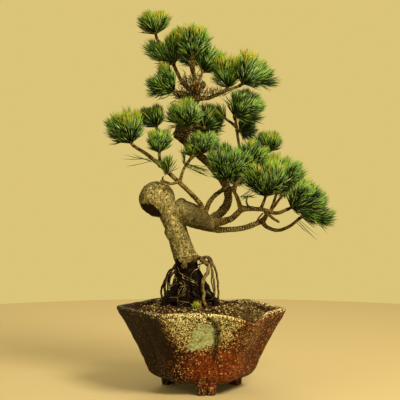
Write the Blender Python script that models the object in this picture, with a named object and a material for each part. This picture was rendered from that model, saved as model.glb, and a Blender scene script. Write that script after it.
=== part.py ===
"""A potted Japanese white pine, trained as a small tree with its roots in the open.

A leaning trunk stands on a bundle of bare roots, swells into a round burl and sends one thick
bough to the right. Slimmer boughs rise and arch from that, and each ends in a tuft of needles
like a shaving brush. The tree stands on mounded soil in a rough six-cornered stoneware bowl.

Lengths are in millimetres from the middle of the bowl's floor, X to the right, Y to the back
and Z up. metres() turns them into metres, with the origin under the middle of the whole plant.
"""

import math
import random
from collections import namedtuple

import bmesh
import bpy
import numpy as np
from mathutils import Matrix, Vector
from mathutils.bvhtree import BVHTree

MM = 0.001
CLEAR = 0.3  # gap that touching pieces keep
PLANT_MIDDLE = (20.8, 0.2)  # middle of the whole plant's box, from the middle of the bowl

# Bowl
BOWL_CORNERS = 6
BOWL_SIDES = 36  # points round each ring
CORNER_SHARPNESS = 20  # higher is a sharper hexagon
INNER_SHARPNESS = 8  # the inside has rounder corners, so the lip is thicker there
RIM_LEVEL = 98.0
WAVE_START = 40.0  # the rim's waves fade out below this level
BOWL_OUTSIDE = ((50, 13), (62, 19.5), (70, 36), (78.5, 54), (90, 75), (99.5, 92))  # radius, level
BOWL_LIP = ((101.5, 95), (100.5, 97.4), (97, 98), (94, 96.5))
BOWL_INSIDE = ((92, 92), (88.5, 86), (79, 66), (67, 42), (58, 25))
SOIL_EDGE = 86.0  # a level of BOWL_INSIDE
RIM_WAVES = ((-49, -12, 10), (78, -5, 15), (2, -3, 20), (-100, 2, 18))  # angle, rise, spread

# Feet
FOOT_ANGLES = (-83, 150, 30)
FOOT_OUT = 46.0
FOOT_LOBE_APART = 5.0
FOOT_RADIUS_LOW = 5.5
FOOT_RADIUS_HIGH = 8.0
FOOT_TOP = 16.0

# Soil
GROUND = 99.0  # level of the flat top of the mound, where the roots stand
MOUND_MIDDLE = (-10.0, 0.0)
MOUND_SHARES = (0.9, 0.8, 0.69, 0.57)  # of the way from its middle to the wall
SHOULDER_LEVEL = 95.5  # at the second of these shares
SWELL_RISE = 1.5
SWELL_APART = (19.0, 17.0)  # from a hummock to the next hollow

# Roots and trunk
TRUNK_LINE = (
    (-16, 0, 92), (-16, 0, 123), (-17, 0, 142), (-21, 0, 161),
    (-28, 0, 181), (-35, 0, 201), (-43, 0, 220),
)  # fmt: skip
TRUNK_RADII = (21, 16.5, 14.5, 14, 13, 13, 12)
BURL_MIDDLE = (-53.4, 0, 225.8)
BURL_RADII = (21.6, 20, 21.6)
SCAR_WAY = (-0.42, -0.44, -0.79)  # a thick stem was sawn off the burl on this side
SCAR_OUT = 16.9
TRUNK_BALLS = (
    ((-24.5, -2, 219), (7.5, 8, 8)),
    ((-36, -3, 188), (9, 9, 12)),
    ((-19.5, 0, 158), (15.4, 15.2, 7)),
)  # hump on the bough's top, swelling under the burl, edge of the bark over the roots
LEG_ANGLES = (-15, -62, -108, -158, 165, 110, 52)
LEG_FOOT_OUT = (33, 25, 27, 34, 30, 25, 30)
LEG_TOP_LEVEL = 142.0
LEG_RADII = (4.5, 5.5, 5.0, 4.6)

# Needles
NEEDLE_ROOT_RADIUS = 3.2  # the root is sunk in the core, where its width doesn't show
SPARSE_ROOT_RADIUS = 1.4
SPACE_MARGIN = 1.6  # what a mass keeps to its own side of the middle between two masses
LIMB_MARGIN = 1.1
GOLDEN_ANGLE = math.radians(137.5)
SHOOT_RADII = (1.5, 0.9)
STEM_RADIUS = 1.7
NEEDLES_A_MASS = 36
NEEDLES_A_SPARSE_MASS = 15

Limb = namedtuple("Limb", "name radii points cut_by colour")
Mass = namedtuple("Mass", "name limb along base lean shoot needle shoots dense")
Tube = namedtuple("Tube", "centres radii")

BARK = (0.30, 0.27, 0.14)
DARK_BARK = (0.10, 0.06, 0.035)
RED_BARK = (0.22, 0.12, 0.055)
TAN_ROOT = (0.36, 0.27, 0.13)

# Each limb runs through its points from its foot inside the limb that carries it to its tip.
LIMBS = (
    Limb("main_bough", (11.5, 13.5, 13, 10.5, 8), (
        (-37, 0, 208), (-21, -2, 210), (-7, -4, 204), (5, -5, 198), (15, -6, 194),
    ), ("trunk",), BARK),
    Limb("left_bough", (3.6, 1.9), (
        (-1, -5, 203), (0, -8, 216), (-7, -12, 227), (-35, -18, 254), (-62, -16, 277), (-80, -12, 289),
    ), ("main_bough",), RED_BARK),
    Limb("inner_bough", (3.1, 2.6), (
        (3, -4, 201), (6, -1, 214), (14, 2, 228), (30, 4, 240),
    ), ("main_bough", "leader_lower", "leader_middle"), RED_BARK),
    Limb("leader_lower", (5.6, 5.2), (
        (4, -3, 199), (15, 5, 203), (25, 9, 211), (32, 8, 223), (31.5, 5, 237),
    ), ("main_bough",), DARK_BARK),
    Limb("leader_middle", (5.0, 4.2), (
        (31.5, 4, 239), (19, 4, 257), (-4, 5, 280), (-16, 4, 291), (-25, 2, 299),
    ), ("leader_lower",), DARK_BARK),
    Limb("leader_upper", (6.5, 9.5, 5.5, 4, 3.6, 2.8), (
        (-25, 2, 298), (-22, 0, 309), (-17, 0, 321), (-10, 2, 335), (-5, 3, 349), (-8, 2, 364),
    ), ("leader_middle",), DARK_BARK),
    Limb("apex_stem", (2.2, 1.6), (
        (-8, 2, 362), (-9, 0, 378), (-10, -3, 390),
    ), ("leader_upper",), RED_BARK),
    Limb("top_left_bough", (2.6, 1.6), (
        (-6, 3, 353), (-21, 11, 364), (-31, 16, 382), (-43, 15, 406), (-54, 7, 419),
    ), ("leader_upper",), RED_BARK),
    Limb("top_right_bough", (2.8, 1.6), (
        (-5, 3, 347), (9, 2, 347.5), (25, -2, 354), (45, -6, 361),
    ), ("leader_upper",), RED_BARK),
    Limb("left_riser", (1.9, 1.5), (
        (-49, -17, 265), (-51, -2, 285), (-54, 6, 309),
    ), ("left_bough",), RED_BARK),
    Limb("fork_twig", (1.8, 1.2), (
        (-26, -17, 246), (-21, -14, 262), (-13, -14, 273), (-3, -15, 281),
    ), ("left_bough",), RED_BARK),
    Limb("middle_bough", (4.2, 3.4), (
        (11, -7, 197), (23, -12, 199), (35, -16, 203), (43, -18, 210), (49, -18, 216),
    ), ("main_bough",), RED_BARK),
    Limb("middle_bough_left", (2.4, 2.2), (
        (47, -18, 213), (43, -14, 226), (38, -8, 237),
    ), ("middle_bough",), RED_BARK),
    Limb("middle_bough_rise", (2.3, 2.3), (
        (38, -8, 236), (42, -3, 244), (50, 8, 252),
    ), ("middle_bough_left",), RED_BARK),
    Limb("middle_bough_right", (2.9, 2.0), (
        (48, -18, 215), (60, -20, 215), (72, -22, 214), (88, -24, 210), (101, -22, 214),
    ), ("middle_bough", "middle_bough_left"), RED_BARK),
    Limb("low_bough", (4.6, 3.1), (
        (9, -5, 192), (20, -2, 189), (32, 2, 189), (51, 6, 191), (74, 8, 199),
    ), ("main_bough", "middle_bough"), BARK),
    Limb("low_bough_link", (2.6, 1.7), (
        (72, 8, 198), (77, -7, 207), (74, -21, 213.5),
    ), ("low_bough", "middle_bough_right"), BARK),
    Limb("low_bough_right", (2.4, 1.8), (
        (73, 8, 199), (79, 8, 192), (92, 6, 188), (106, 4, 193), (117, 2, 202),
    ), ("low_bough", "low_bough_link"), BARK),
    Limb("right_riser", (2.1, 1.6), (
        (49.4, 7.2, 251.4), (52, 21, 268), (46, 22, 291), (41, 10, 322),
    ), ("middle_bough_rise",), RED_BARK),
    Limb("back_bough_low", (2.8, 1.8), (
        (31, 6, 233), (33, 28, 235), (41, 52, 240),
    ), ("leader_lower", "leader_middle"), RED_BARK),
    Limb("back_bough_middle", (2.6, 1.7), (
        (-4, 5, 280), (0, 28, 284), (4, 50, 296),
    ), ("leader_middle",), RED_BARK),
    Limb("back_bough_top", (2.2, 1.5), (
        (-6, 3, 356), (-9, 24, 372), (-14, 42, 390),
    ), ("leader_upper", "top_left_bough", "apex_stem"), RED_BARK),
    Limb("back_bough_right", (2.3, 1.6), (
        (74, 8, 199), (84, 24, 210), (99, 42, 228),
    ), ("low_bough", "low_bough_link", "low_bough_right"), RED_BARK),
)  # fmt: skip

# Bare roots that leave the bundle and loop down to the soil.
ROOTS = (
    Limb("root_loop_right", (1.5, 1.4), (
        (-8, -4, 153), (8, -4, 157), (15, -3, 145), (19, -2, 131), (20, -2, 116), (20, -1, 92),
    ), ("trunk", "soil"), TAN_ROOT),
    Limb("root_thread_right", (1.0, 0.9), (
        (-8, 8, 145), (9, 11, 149), (14, 12, 135), (16, 13, 119), (15, 15, 92),
    ), ("trunk", "soil"), TAN_ROOT),
    Limb("root_loop_left", (1.6, 1.3), (
        (-22, -4, 140), (-38, -6, 136), (-46, -8, 125), (-48, -8, 113), (-44, -8, 92),
    ), ("trunk", "soil"), DARK_BARK),
    Limb("root_thread_left", (1.2, 1.0), (
        (-22, 5, 142), (-38, 9, 140), (-44, 11, 126), (-45, 12, 114), (-40, 12, 92),
    ), ("trunk", "soil"), DARK_BARK),
)  # fmt: skip

# Each mass: the limb that carries it and how far along, its lowest needles, its lean to the
# right and to the back in degrees, its shoots' length, its needles' length and its shoot count.
MASSES = (
    Mass("needles_top_left", "top_left_bough", 1.0, (-55, 6, 424), (-4, -6), 9, 22, 2, True),
    Mass("needles_top_inner", "top_left_bough", 0.48, (-33, 12, 388), (-19, 12), 21, 24, 3, True),
    Mass("needles_apex", "apex_stem", 1.0, (-10, -4, 394), (-2, -8), 21, 23, 3, True),
    Mass("needles_top_right", "leader_upper", 0.9, (1, 8, 378), (30, 10), 15, 23, 2, True),
    Mass("needles_upper_left", "leader_upper", 0.8, (-32, -8, 354), (-50, -16), 17, 22, 2, True),
    Mass("needles_upper_right_inner", "top_right_bough", 0.55, (31, 4, 359), (2, 14), 21, 23, 3, True),
    Mass("needles_upper_right", "top_right_bough", 1.0, (48, -6, 363), (47, -10), 20, 24, 3, True),
    Mass("needles_right_shoulder", "right_riser", 1.0, (39, 8, 325), (47, -4), 19, 24, 4, True),
    Mass("needles_behind_shoulder", "right_riser", 0.82, (47, 28, 309), (60, 40), 7, 20, 2, True),
    Mass("needles_inside_shoulder", "right_riser", 0.88, (30, 10, 322), (-34, 4), 6, 20, 1, False),
    Mass("needles_middle", "leader_upper", 0.3, (-18, -16, 311), (-6, -22), 14, 23, 3, True),
    Mass("needles_middle_back", "leader_upper", 0.32, (3, 16, 311), (38, 18), 11, 22, 2, True),
    Mass("needles_far_left", "left_bough", 1.0, (-83, -12, 292), (-19, -6), 19, 24, 4, True),
    Mass("needles_left_high", "left_riser", 1.0, (-54, 6, 312), (-20, 10), 10, 20, 2, True),
    Mass("needles_left_low", "left_bough", 0.68, (-50, -19, 281), (2, -16), 11, 19, 2, True),
    Mass("needles_left_sprig", "left_bough", 0.52, (-40, -22, 260), (4, -14), 5, 17, 1, False),
    Mass("needles_fork_sprig", "fork_twig", 0.55, (-12, -16, 276), (-18, -30), 3, 17, 1, False),
    Mass("needles_centre_high", "leader_middle", 0.52, (1, -12, 280), (8, -24), 9, 21, 2, True),
    Mass("needles_centre", "leader_middle", 0.1, (31, -10, 248), (-6, -18), 24, 24, 3, True),
    Mass("needles_centre_right", "right_riser", 0.2, (55, 6, 263), (30, -2), 15, 22, 2, True),
    Mass("needles_right_high", "right_riser", 0.35, (84, 27, 283), (-2, 22), 7, 21, 2, True),
    Mass("needles_right", "middle_bough_right", 0.4, (75, -28, 229), (4, -16), 25, 24, 3, True),
    Mass("needles_right_back", "back_bough_right", 0.45, (92, 8, 238), (18, -4), 22, 24, 3, True),
    Mass("needles_far_right", "middle_bough_right", 1.0, (105, -23, 216), (54, -10), 21, 24, 3, True),
    Mass("needles_far_right_low", "low_bough_right", 1.0, (120, 2, 204), (62, 6), 18, 24, 3, True),
    Mass("needles_back_low", "back_bough_low", 1.0, (42, 55, 242), (8, 34), 16, 24, 3, True),
    Mass("needles_back_middle", "back_bough_middle", 1.0, (4, 53, 298), (0, 36), 15, 23, 3, True),
    Mass("needles_back_top", "back_bough_top", 1.0, (-14, 44, 393), (-4, 40), 13, 22, 3, True),
    Mass("needles_back_right", "back_bough_right", 1.0, (101, 44, 231), (16, 38), 14, 23, 3, True),
)


def clear_scene():
    for obj in list(bpy.data.objects):
        bpy.data.objects.remove(obj, do_unlink=True)


def new_collection(name, hidden=False):
    collection = bpy.data.collections.new(name)
    bpy.context.scene.collection.children.link(collection)
    collection.hide_render = hidden
    return collection


def principled(name, colour, roughness):
    material = bpy.data.materials.new(name)
    material.use_nodes = True
    shader = material.node_tree.nodes["Principled BSDF"]
    shader.inputs["Base Color"].default_value = (*colour, 1)
    shader.inputs["Roughness"].default_value = roughness
    shader.inputs["Metallic"].default_value = 0
    return material


def metres(point):
    return (
        (point[0] - PLANT_MIDDLE[0]) * MM,
        (point[1] - PLANT_MIDDLE[1]) * MM,
        point[2] * MM,
    )


def finish(obj, material):
    """The piece's own material, and smooth shading between its sharper edges."""
    obj.data.materials.clear()
    obj.data.materials.append(material)
    obj.data.shade_smooth()
    obj.data.set_sharp_from_angle(angle=math.radians(40))


def hide_as_cutter(obj):
    obj.hide_render = True
    obj.display_type = "WIRE"


def object_from_bmesh(name, mesh_data, collection):
    mesh = bpy.data.meshes.new(name)
    mesh_data.to_mesh(mesh)
    mesh_data.free()
    obj = bpy.data.objects.new(name, mesh)
    collection.objects.link(obj)
    return obj


def evaluated_mesh(obj):
    bpy.context.view_layer.update()
    graph = bpy.context.evaluated_depsgraph_get()
    return bpy.data.meshes.new_from_object(obj.evaluated_get(graph))


def apply_boolean(obj, operation, operand=None, collection=None):
    """Joins or cuts at once, so that the helpers can be removed afterwards."""
    modifier = obj.modifiers.new(operation.lower(), "BOOLEAN")
    modifier.operation = operation
    modifier.solver = "EXACT"
    if collection:
        modifier.operand_type = "COLLECTION"
        modifier.collection = collection
    else:
        modifier.object = operand
    mesh = evaluated_mesh(obj)
    obj.modifiers.remove(modifier)
    old = obj.data
    obj.data = mesh
    bpy.data.meshes.remove(old)


def remove_collection(collection):
    for obj in list(collection.objects):
        mesh = obj.data
        bpy.data.objects.remove(obj, do_unlink=True)
        bpy.data.meshes.remove(mesh)
    bpy.data.collections.remove(collection)


def keep_largest_body(obj):
    """Drops loose scraps, and fills a hollow by dropping the shell round it."""
    mesh = bmesh.new()
    mesh.from_mesh(obj.data)
    bmesh.ops.remove_doubles(mesh, verts=mesh.verts, dist=1e-7)
    bmesh.ops.triangulate(mesh, faces=mesh.faces)
    unseen = set(mesh.faces)
    bodies = []
    while unseen:
        body = {unseen.pop()}
        edge_of_body = list(body)
        while edge_of_body:
            face = edge_of_body.pop()
            for edge in face.edges:
                for other in edge.link_faces:
                    if other in unseen:
                        unseen.remove(other)
                        body.add(other)
                        edge_of_body.append(other)
        bodies.append(body)
    largest = max(bodies, key=lambda body: sum(face.calc_area() for face in body))
    bmesh.ops.delete(mesh, geom=[f for f in mesh.faces if f not in largest], context="FACES")
    mesh.to_mesh(obj.data)
    mesh.free()


def smooth_path(points, radii, step):
    """Centres and radii about a step apart on a Catmull-Rom line through the points."""
    points = np.array(points, float)
    if len(radii) != len(points):
        radii = np.linspace(radii[0], radii[-1], len(points))
    rows = np.column_stack([points, radii])
    rows = np.vstack([2 * rows[0] - rows[1], rows, 2 * rows[-1] - rows[-2]])
    found = []
    for before, start, end, after in zip(rows, rows[1:], rows[2:], rows[3:]):
        count = max(1, round(float(np.linalg.norm(end[:3] - start[:3])) / step))
        for i in range(count):
            t = i / count
            found.append(0.5 * (
                2 * start + (end - before) * t
                + (2 * before - 5 * start + 4 * end - after) * t**2
                + (3 * start - before - 3 * end + after) * t**3
            ))  # fmt: skip
    found.append(rows[-2])
    found = np.array(found)
    return Tube(found[:, :3], found[:, 3])


def grown(path, extra):
    """The same tube, wider by extra all round and longer by it at both ends."""
    first = path.centres[0] - path.centres[1]
    last = path.centres[-1] - path.centres[-2]
    centres = np.vstack([
        path.centres[0] + extra * first / np.linalg.norm(first),
        path.centres[1:-1],
        path.centres[-1] + extra * last / np.linalg.norm(last),
    ])  # fmt: skip
    return Tube(centres, path.radii + extra)


def tube(name, path, collection, bevel_resolution):
    """A round tube with filled ends along a path, as a mesh."""
    curve = bpy.data.curves.new(name, "CURVE")
    curve.dimensions = "3D"
    curve.fill_mode = "FULL"
    curve.bevel_depth = MM
    curve.bevel_resolution = bevel_resolution
    curve.use_fill_caps = True
    spline = curve.splines.new("POLY")
    spline.points.add(len(path.centres) - 1)
    for spot, centre, radius in zip(spline.points, path.centres, path.radii):
        spot.co = (*metres(centre), 1)
        spot.radius = radius
    curve_object = bpy.data.objects.new(name + "_line", curve)
    collection.objects.link(curve_object)
    mesh = evaluated_mesh(curve_object)
    bpy.data.objects.remove(curve_object, do_unlink=True)
    bpy.data.curves.remove(curve)
    welded = bmesh.new()
    welded.from_mesh(mesh)
    bmesh.ops.remove_doubles(welded, verts=welded.verts, dist=1e-6)
    bmesh.ops.recalc_face_normals(welded, faces=welded.faces)
    bpy.data.meshes.remove(mesh)
    return object_from_bmesh(name, welded, collection)


def rounded(angle, sharpness):
    """Radius of a round-cornered hexagon whose sides are 1 from its middle."""
    total = 0
    for side in range(BOWL_CORNERS // 2):
        turn = angle - math.radians(30 + 60 * side)
        total += abs(math.cos(turn)) ** sharpness
    return total ** (-1 / sharpness)


def hexagon(angle, softness):
    """1 at the corners. Softness 1 leaves the sides where they are and rounds the corners more."""
    soft = rounded(angle, INNER_SHARPNESS) / rounded(math.radians(30), INNER_SHARPNESS)
    sharp = rounded(angle, CORNER_SHARPNESS)
    return ((1 - softness) * sharp + softness * soft) / rounded(0, CORNER_SHARPNESS)


def wave(angle, level):
    """How far the rim's waves lift this level of the wall."""
    share = min(1, max(0, (level - WAVE_START) / (RIM_LEVEL - WAVE_START)))
    total = 0
    for middle, rise, spread in RIM_WAVES:
        away = (math.degrees(angle) - middle + 180) % 360 - 180
        total += rise * math.exp(-((away / spread) ** 2) / 2)
    return total * share


def inner_softness(level):
    """The inside's corners get rounder from the lip's top down to the soil's edge."""
    return min(1, (RIM_LEVEL - level) / (RIM_LEVEL - SOIL_EDGE))


def bowl_ring(radius, level, softness=0.0):
    points = []
    for i in range(BOWL_SIDES):
        angle = 2 * math.pi * i / BOWL_SIDES
        reach = radius * hexagon(angle, softness)
        points.append((reach * math.cos(angle), reach * math.sin(angle), level + wave(angle, level)))
    return points


def loft(name, rings, collection):
    """A closed solid through rings of equal counts, from its underside round to its last ring."""
    mesh = bmesh.new()
    rows = [[mesh.verts.new(metres(point)) for point in ring] for ring in rings]
    for low, high in zip(rows, rows[1:]):
        for i in range(len(low)):
            j = (i + 1) % len(low)
            mesh.faces.new((low[i], low[j], high[j], high[i]))
    mesh.faces.new(list(reversed(rows[0])))
    mesh.faces.new(rows[-1])
    bmesh.ops.recalc_face_normals(mesh, faces=mesh.faces)
    return object_from_bmesh(name, mesh, collection)


def foot_lobe(name, middle, collection):
    mesh = bmesh.new()
    bmesh.ops.create_cone(
        mesh, cap_ends=True, segments=8, radius1=FOOT_RADIUS_LOW * MM, radius2=FOOT_RADIUS_HIGH * MM,
        depth=FOOT_TOP * MM, matrix=Matrix.Translation(metres((*middle, FOOT_TOP / 2))),
    )  # fmt: skip
    return object_from_bmesh(name, mesh, collection)


def make_bowl(collection):
    rings = [bowl_ring(radius, level) for radius, level in BOWL_OUTSIDE + BOWL_LIP]
    rings += [bowl_ring(radius, level, inner_softness(level)) for radius, level in BOWL_INSIDE]
    bowl = loft("bowl", rings, collection)
    lobes = new_collection("foot_lobes")
    for i, degrees in enumerate(FOOT_ANGLES):
        angle = math.radians(degrees)
        out = Vector((math.cos(angle), math.sin(angle)))
        along = Vector((-out.y, out.x))
        for side in (-1, 1):
            foot_lobe(f"lobe_{i}_{side}", FOOT_OUT * out + side * FOOT_LOBE_APART * along, lobes)
    apply_boolean(bowl, "UNION", collection=lobes)
    remove_collection(lobes)
    return bowl


def mound_level(share, edge, x, y):
    """Level of the mound, from the wall up to its flat top, with low hummocks in between."""
    outer, shoulder, inner, flat = MOUND_SHARES
    slope = np.interp(share, (flat, shoulder, 1.0), (GROUND, SHOULDER_LEVEL, edge))
    fade = np.interp(share, (flat, inner, outer, 1.0), (0, 1, 1, 0))
    hummock = math.sin(math.pi * x / SWELL_APART[0] + 0.6) * math.cos(math.pi * y / SWELL_APART[1] - 0.4)
    return float(slope + SWELL_RISE * fade * hummock)


def make_soil(name, collection, lift=0.0):
    """Soil that fills the bowl and rises to a flat-topped mound under the roots.

    Its rings run downwards like the bowl's inside, so that both split into the same triangles.
    """
    wall = [spot for spot in BOWL_INSIDE if spot[1] <= SOIL_EDGE]
    rings = []
    for radius, level in reversed(wall):
        rings.append([
            (x * (1 - 0.5 / radius), y * (1 - 0.5 / radius), z)
            for x, y, z in bowl_ring(radius, level, inner_softness(level))
        ])  # fmt: skip
    floor = [(x, y, z + CLEAR + 0.1) for x, y, z in rings[0]]
    edge = rings[-1]
    rings[0] = floor
    rings[-1] = [(x, y, z + lift) for x, y, z in edge]
    for share in MOUND_SHARES:
        ring = []
        for x, y, z in edge:
            x = MOUND_MIDDLE[0] + share * (x - MOUND_MIDDLE[0])
            y = MOUND_MIDDLE[1] + share * (y - MOUND_MIDDLE[1])
            ring.append((x, y, mound_level(share, z, x, y) + lift))
        rings.append(ring)
    return loft(name, list(reversed(rings)), collection)


def root_legs():
    """Lines of the bare roots that splay from the bundle to the soil, with their radii."""
    legs = []
    for degrees, out in zip(LEG_ANGLES, LEG_FOOT_OUT):
        angle = math.radians(degrees)
        turn = (math.cos(angle), math.sin(angle))
        points = (
            (-16 + 9 * turn[0], 8 * turn[1], LEG_TOP_LEVEL),
            (-15 + 14 * turn[0], 13 * turn[1], 126),
            (-14 + (out - 6) * turn[0], (out - 8) * turn[1], 108),
            (-13 + (out + 4) * turn[0], (out + 1) * turn[1], 92),
        )
        legs.append(smooth_path(points, LEG_RADII, 20))
    return legs


def ball(middle, radii, segments, rings):
    mesh = bmesh.new()
    size = [radius * MM for radius in radii]
    bmesh.ops.create_uvsphere(
        mesh, u_segments=segments, v_segments=rings, radius=1,
        matrix=Matrix.Translation(metres(middle)) @ Matrix.Diagonal((*size, 1)),
    )  # fmt: skip
    return mesh


def cut_flat(mesh, spot, outwards):
    """Takes off what lies beyond the plane through this spot and closes the cut."""
    cut = bmesh.ops.bisect_plane(
        mesh, geom=mesh.verts[:] + mesh.edges[:] + mesh.faces[:], dist=1e-7,
        plane_co=spot, plane_no=outwards, clear_outer=True,
    )  # fmt: skip
    rim = [item for item in cut["geom_cut"] if isinstance(item, bmesh.types.BMEdge)]
    bmesh.ops.contextual_create(mesh, geom=rim)
    bmesh.ops.recalc_face_normals(mesh, faces=mesh.faces)


def make_trunk(name, collection, extra=0.0):
    """The leaning column with its burl and root legs, cut flat at the ground."""
    column = smooth_path(TRUNK_LINE, TRUNK_RADII, 12)
    trunk = tube(name, grown(column, extra) if extra else column, collection, 4)
    pieces = new_collection("trunk_pieces")
    burl = ball(BURL_MIDDLE, [radius + extra for radius in BURL_RADII], 14, 9)
    scar = Vector(BURL_MIDDLE) + (SCAR_OUT + extra) * Vector(SCAR_WAY).normalized()
    cut_flat(burl, metres(scar), SCAR_WAY)
    object_from_bmesh("burl", burl, pieces)
    for i, (middle, radii) in enumerate(TRUNK_BALLS):
        object_from_bmesh(f"ball_{i}", ball(middle, [radius + extra for radius in radii], 12, 7), pieces)
    for i, leg in enumerate(root_legs()):
        tube(f"leg_{i}", Tube(leg.centres, leg.radii + extra), pieces, 1)
    apply_boolean(trunk, "UNION", collection=pieces)
    remove_collection(pieces)
    mesh = bmesh.new()
    mesh.from_mesh(trunk.data)
    cut_flat(mesh, (0, 0, (GROUND + CLEAR - extra) * MM), (0, 0, -1))
    mesh.to_mesh(trunk.data)
    mesh.free()
    keep_largest_body(trunk)
    return trunk


def sides_for(radius):
    """The thicker a limb, the rounder its tube."""
    if radius > 8:
        return 4
    return 2 if radius > 4 else 1


def limb_path(limb):
    step = 9 if max(limb.radii) < 6 else 11
    return smooth_path(limb.points, limb.radii, step)


def lean_direction(lean):
    right, back = (math.radians(angle) for angle in lean)
    return Vector((math.sin(right) * math.cos(back), math.sin(back), math.cos(right) * math.cos(back)))


def square_to(direction):
    """Two directions that stand square to this one and to each other."""
    side = direction.cross(Vector((0, 1, 0.2))).normalized()
    return side, direction.cross(side)


def shoots_of(mass):
    """Feet and tips of the shoots that fan out from a mass's base, the middle one first."""
    base = Vector(mass.base)
    axis = lean_direction(mass.lean)
    side, front = square_to(axis)
    if mass.shoots == 1:
        return [(base, base + mass.shoot * axis)]
    fan = math.radians(16 + 4 * mass.shoots)
    found = []
    for i in range(mass.shoots):
        turn = 2 * math.pi * i / mass.shoots + 0.4
        out = math.cos(turn) * side + math.sin(turn) * front
        way = (math.cos(fan) * axis + math.sin(fan) * out).normalized()
        found.append((base, base + (mass.shoot + 2) * way))
    return found


def needles_of(mass, count, chance):
    """Root, direction and length of each needle, wide at a shoot's foot and upright at its tip."""
    shoots = shoots_of(mass)
    axis = lean_direction(mass.lean)
    found = []
    for foot, tip in shoots:
        way = (tip - foot).normalized()
        side, front = square_to(way)
        each = round(count / len(shoots))
        for i in range(each):
            along = (i + 0.5) / each
            open_angle = math.radians(86 - 74 * along**0.85 + chance.uniform(-6, 6))
            turn = GOLDEN_ANGLE * i + chance.uniform(-0.3, 0.3)
            out = math.cos(turn) * side + math.sin(turn) * front
            direction = math.cos(open_angle) * way + math.sin(open_angle) * out
            direction = (direction + 0.12 * axis).normalized()
            root = foot.lerp(tip, 0.1 + 0.9 * along)
            found.append((root, direction, mass.needle * chance.uniform(0.9, 1.03)))
    return found


def samples_of_shoots():
    """Points a millimetre or two apart on every mass's shoots, and the mass each belongs to."""
    points = []
    owners = []
    for owner, mass in enumerate(MASSES):
        for foot, tip in shoots_of(mass):
            for share in np.linspace(0, 1, 12):
                points.append(foot.lerp(tip, share))
                owners.append(owner)
    return np.array(points, float), np.array(owners)


def dense_limbs(paths):
    """Every limb's centres a millimetre apart, with their radii."""
    centres = []
    radii = []
    for path in paths.values():
        for a, b, ra, rb in zip(path.centres, path.centres[1:], path.radii, path.radii[1:]):
            for share in np.linspace(0, 1, max(2, int(np.linalg.norm(b - a)))):
                centres.append(a + share * (b - a))
                radii.append(ra + share * (rb - ra))
    return np.array(centres), np.array(radii)


def point_along(path, share):
    steps = np.linalg.norm(np.diff(path.centres, axis=0), axis=1)
    reached = np.concatenate([[0], np.cumsum(steps)]) / steps.sum()
    return Vector([float(np.interp(share, reached, path.centres[:, k])) for k in range(3)])


class Space:
    """Which points belong to a mass: nearer to its shoots than to others', off limbs and stems."""

    def __init__(self, paths):
        self.shoots, self.owners = samples_of_shoots()
        self.limbs, self.radii = dense_limbs(paths)
        self.stems = []
        for mass in MASSES:
            foot = np.array(point_along(paths[mass.limb], mass.along))
            shares = np.linspace(0, 1, 24)[:, None]
            self.stems.append(foot + shares * (np.array(mass.base) - foot))

    def own(self, owner, points, margin):
        away = np.linalg.norm(points[:, None] - self.shoots[None], axis=2)
        mine = away[:, self.owners == owner].min(axis=1)
        others = away[:, self.owners != owner].min(axis=1)
        return others - mine > margin

    def off_limbs(self, owner, points, margin):
        away = np.linalg.norm(points[:, None] - self.limbs[None], axis=2) - self.radii
        stems = np.vstack([stem for i, stem in enumerate(self.stems) if i != owner])
        off_stems = np.linalg.norm(points[:, None] - stems[None], axis=2) - STEM_RADIUS
        return np.minimum(away.min(axis=1), off_stems.min(axis=1)) > margin


def cone(name, foot, tip, radii, segments, collection):
    mesh = bmesh.new()
    way = tip - foot
    matrix = Matrix.Translation(metres((foot + tip) / 2)) @ way.to_track_quat("Z", "Y").to_matrix().to_4x4()
    bmesh.ops.create_cone(
        mesh, cap_ends=True, segments=segments, radius1=radii[0] * MM, radius2=radii[1] * MM,
        depth=way.length * MM, matrix=matrix,
    )  # fmt: skip
    return object_from_bmesh(name, mesh, collection)


def make_core(mass, owner, space, collection):
    """A slim teardrop round the shoots, drawn in wherever it would leave the mass's space."""
    axis = lean_direction(mass.lean)
    side, front = square_to(axis)
    base = Vector(mass.base)
    reach = mass.shoot + mass.needle
    across = 0.74 * mass.needle + 0.1 * mass.shoot
    mesh = bmesh.new()
    bmesh.ops.create_uvsphere(mesh, u_segments=7, v_segments=5, radius=1)
    for vertex in mesh.verts:
        height = reach * (0.4 + 0.44 * vertex.co.z) - 1
        width = across * (1 + 0.35 * vertex.co.z)
        middle = base + height * axis
        out = width * (vertex.co.x * side + vertex.co.y * front)
        if vertex.co.z > 0.99:
            middle = middle - 2 * axis
        for pull in (1, 0.85, 0.7, 0.55, 0.4, 0.28, 0.18):
            spot = middle + pull * out
            test = np.array([spot], float)
            if space.own(owner, test, SPACE_MARGIN)[0] and space.off_limbs(owner, test, LIMB_MARGIN)[0]:
                break
        vertex.co = metres(spot)
    bmesh.ops.recalc_face_normals(mesh, faces=mesh.faces)
    return object_from_bmesh("core", mesh, collection)


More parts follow.
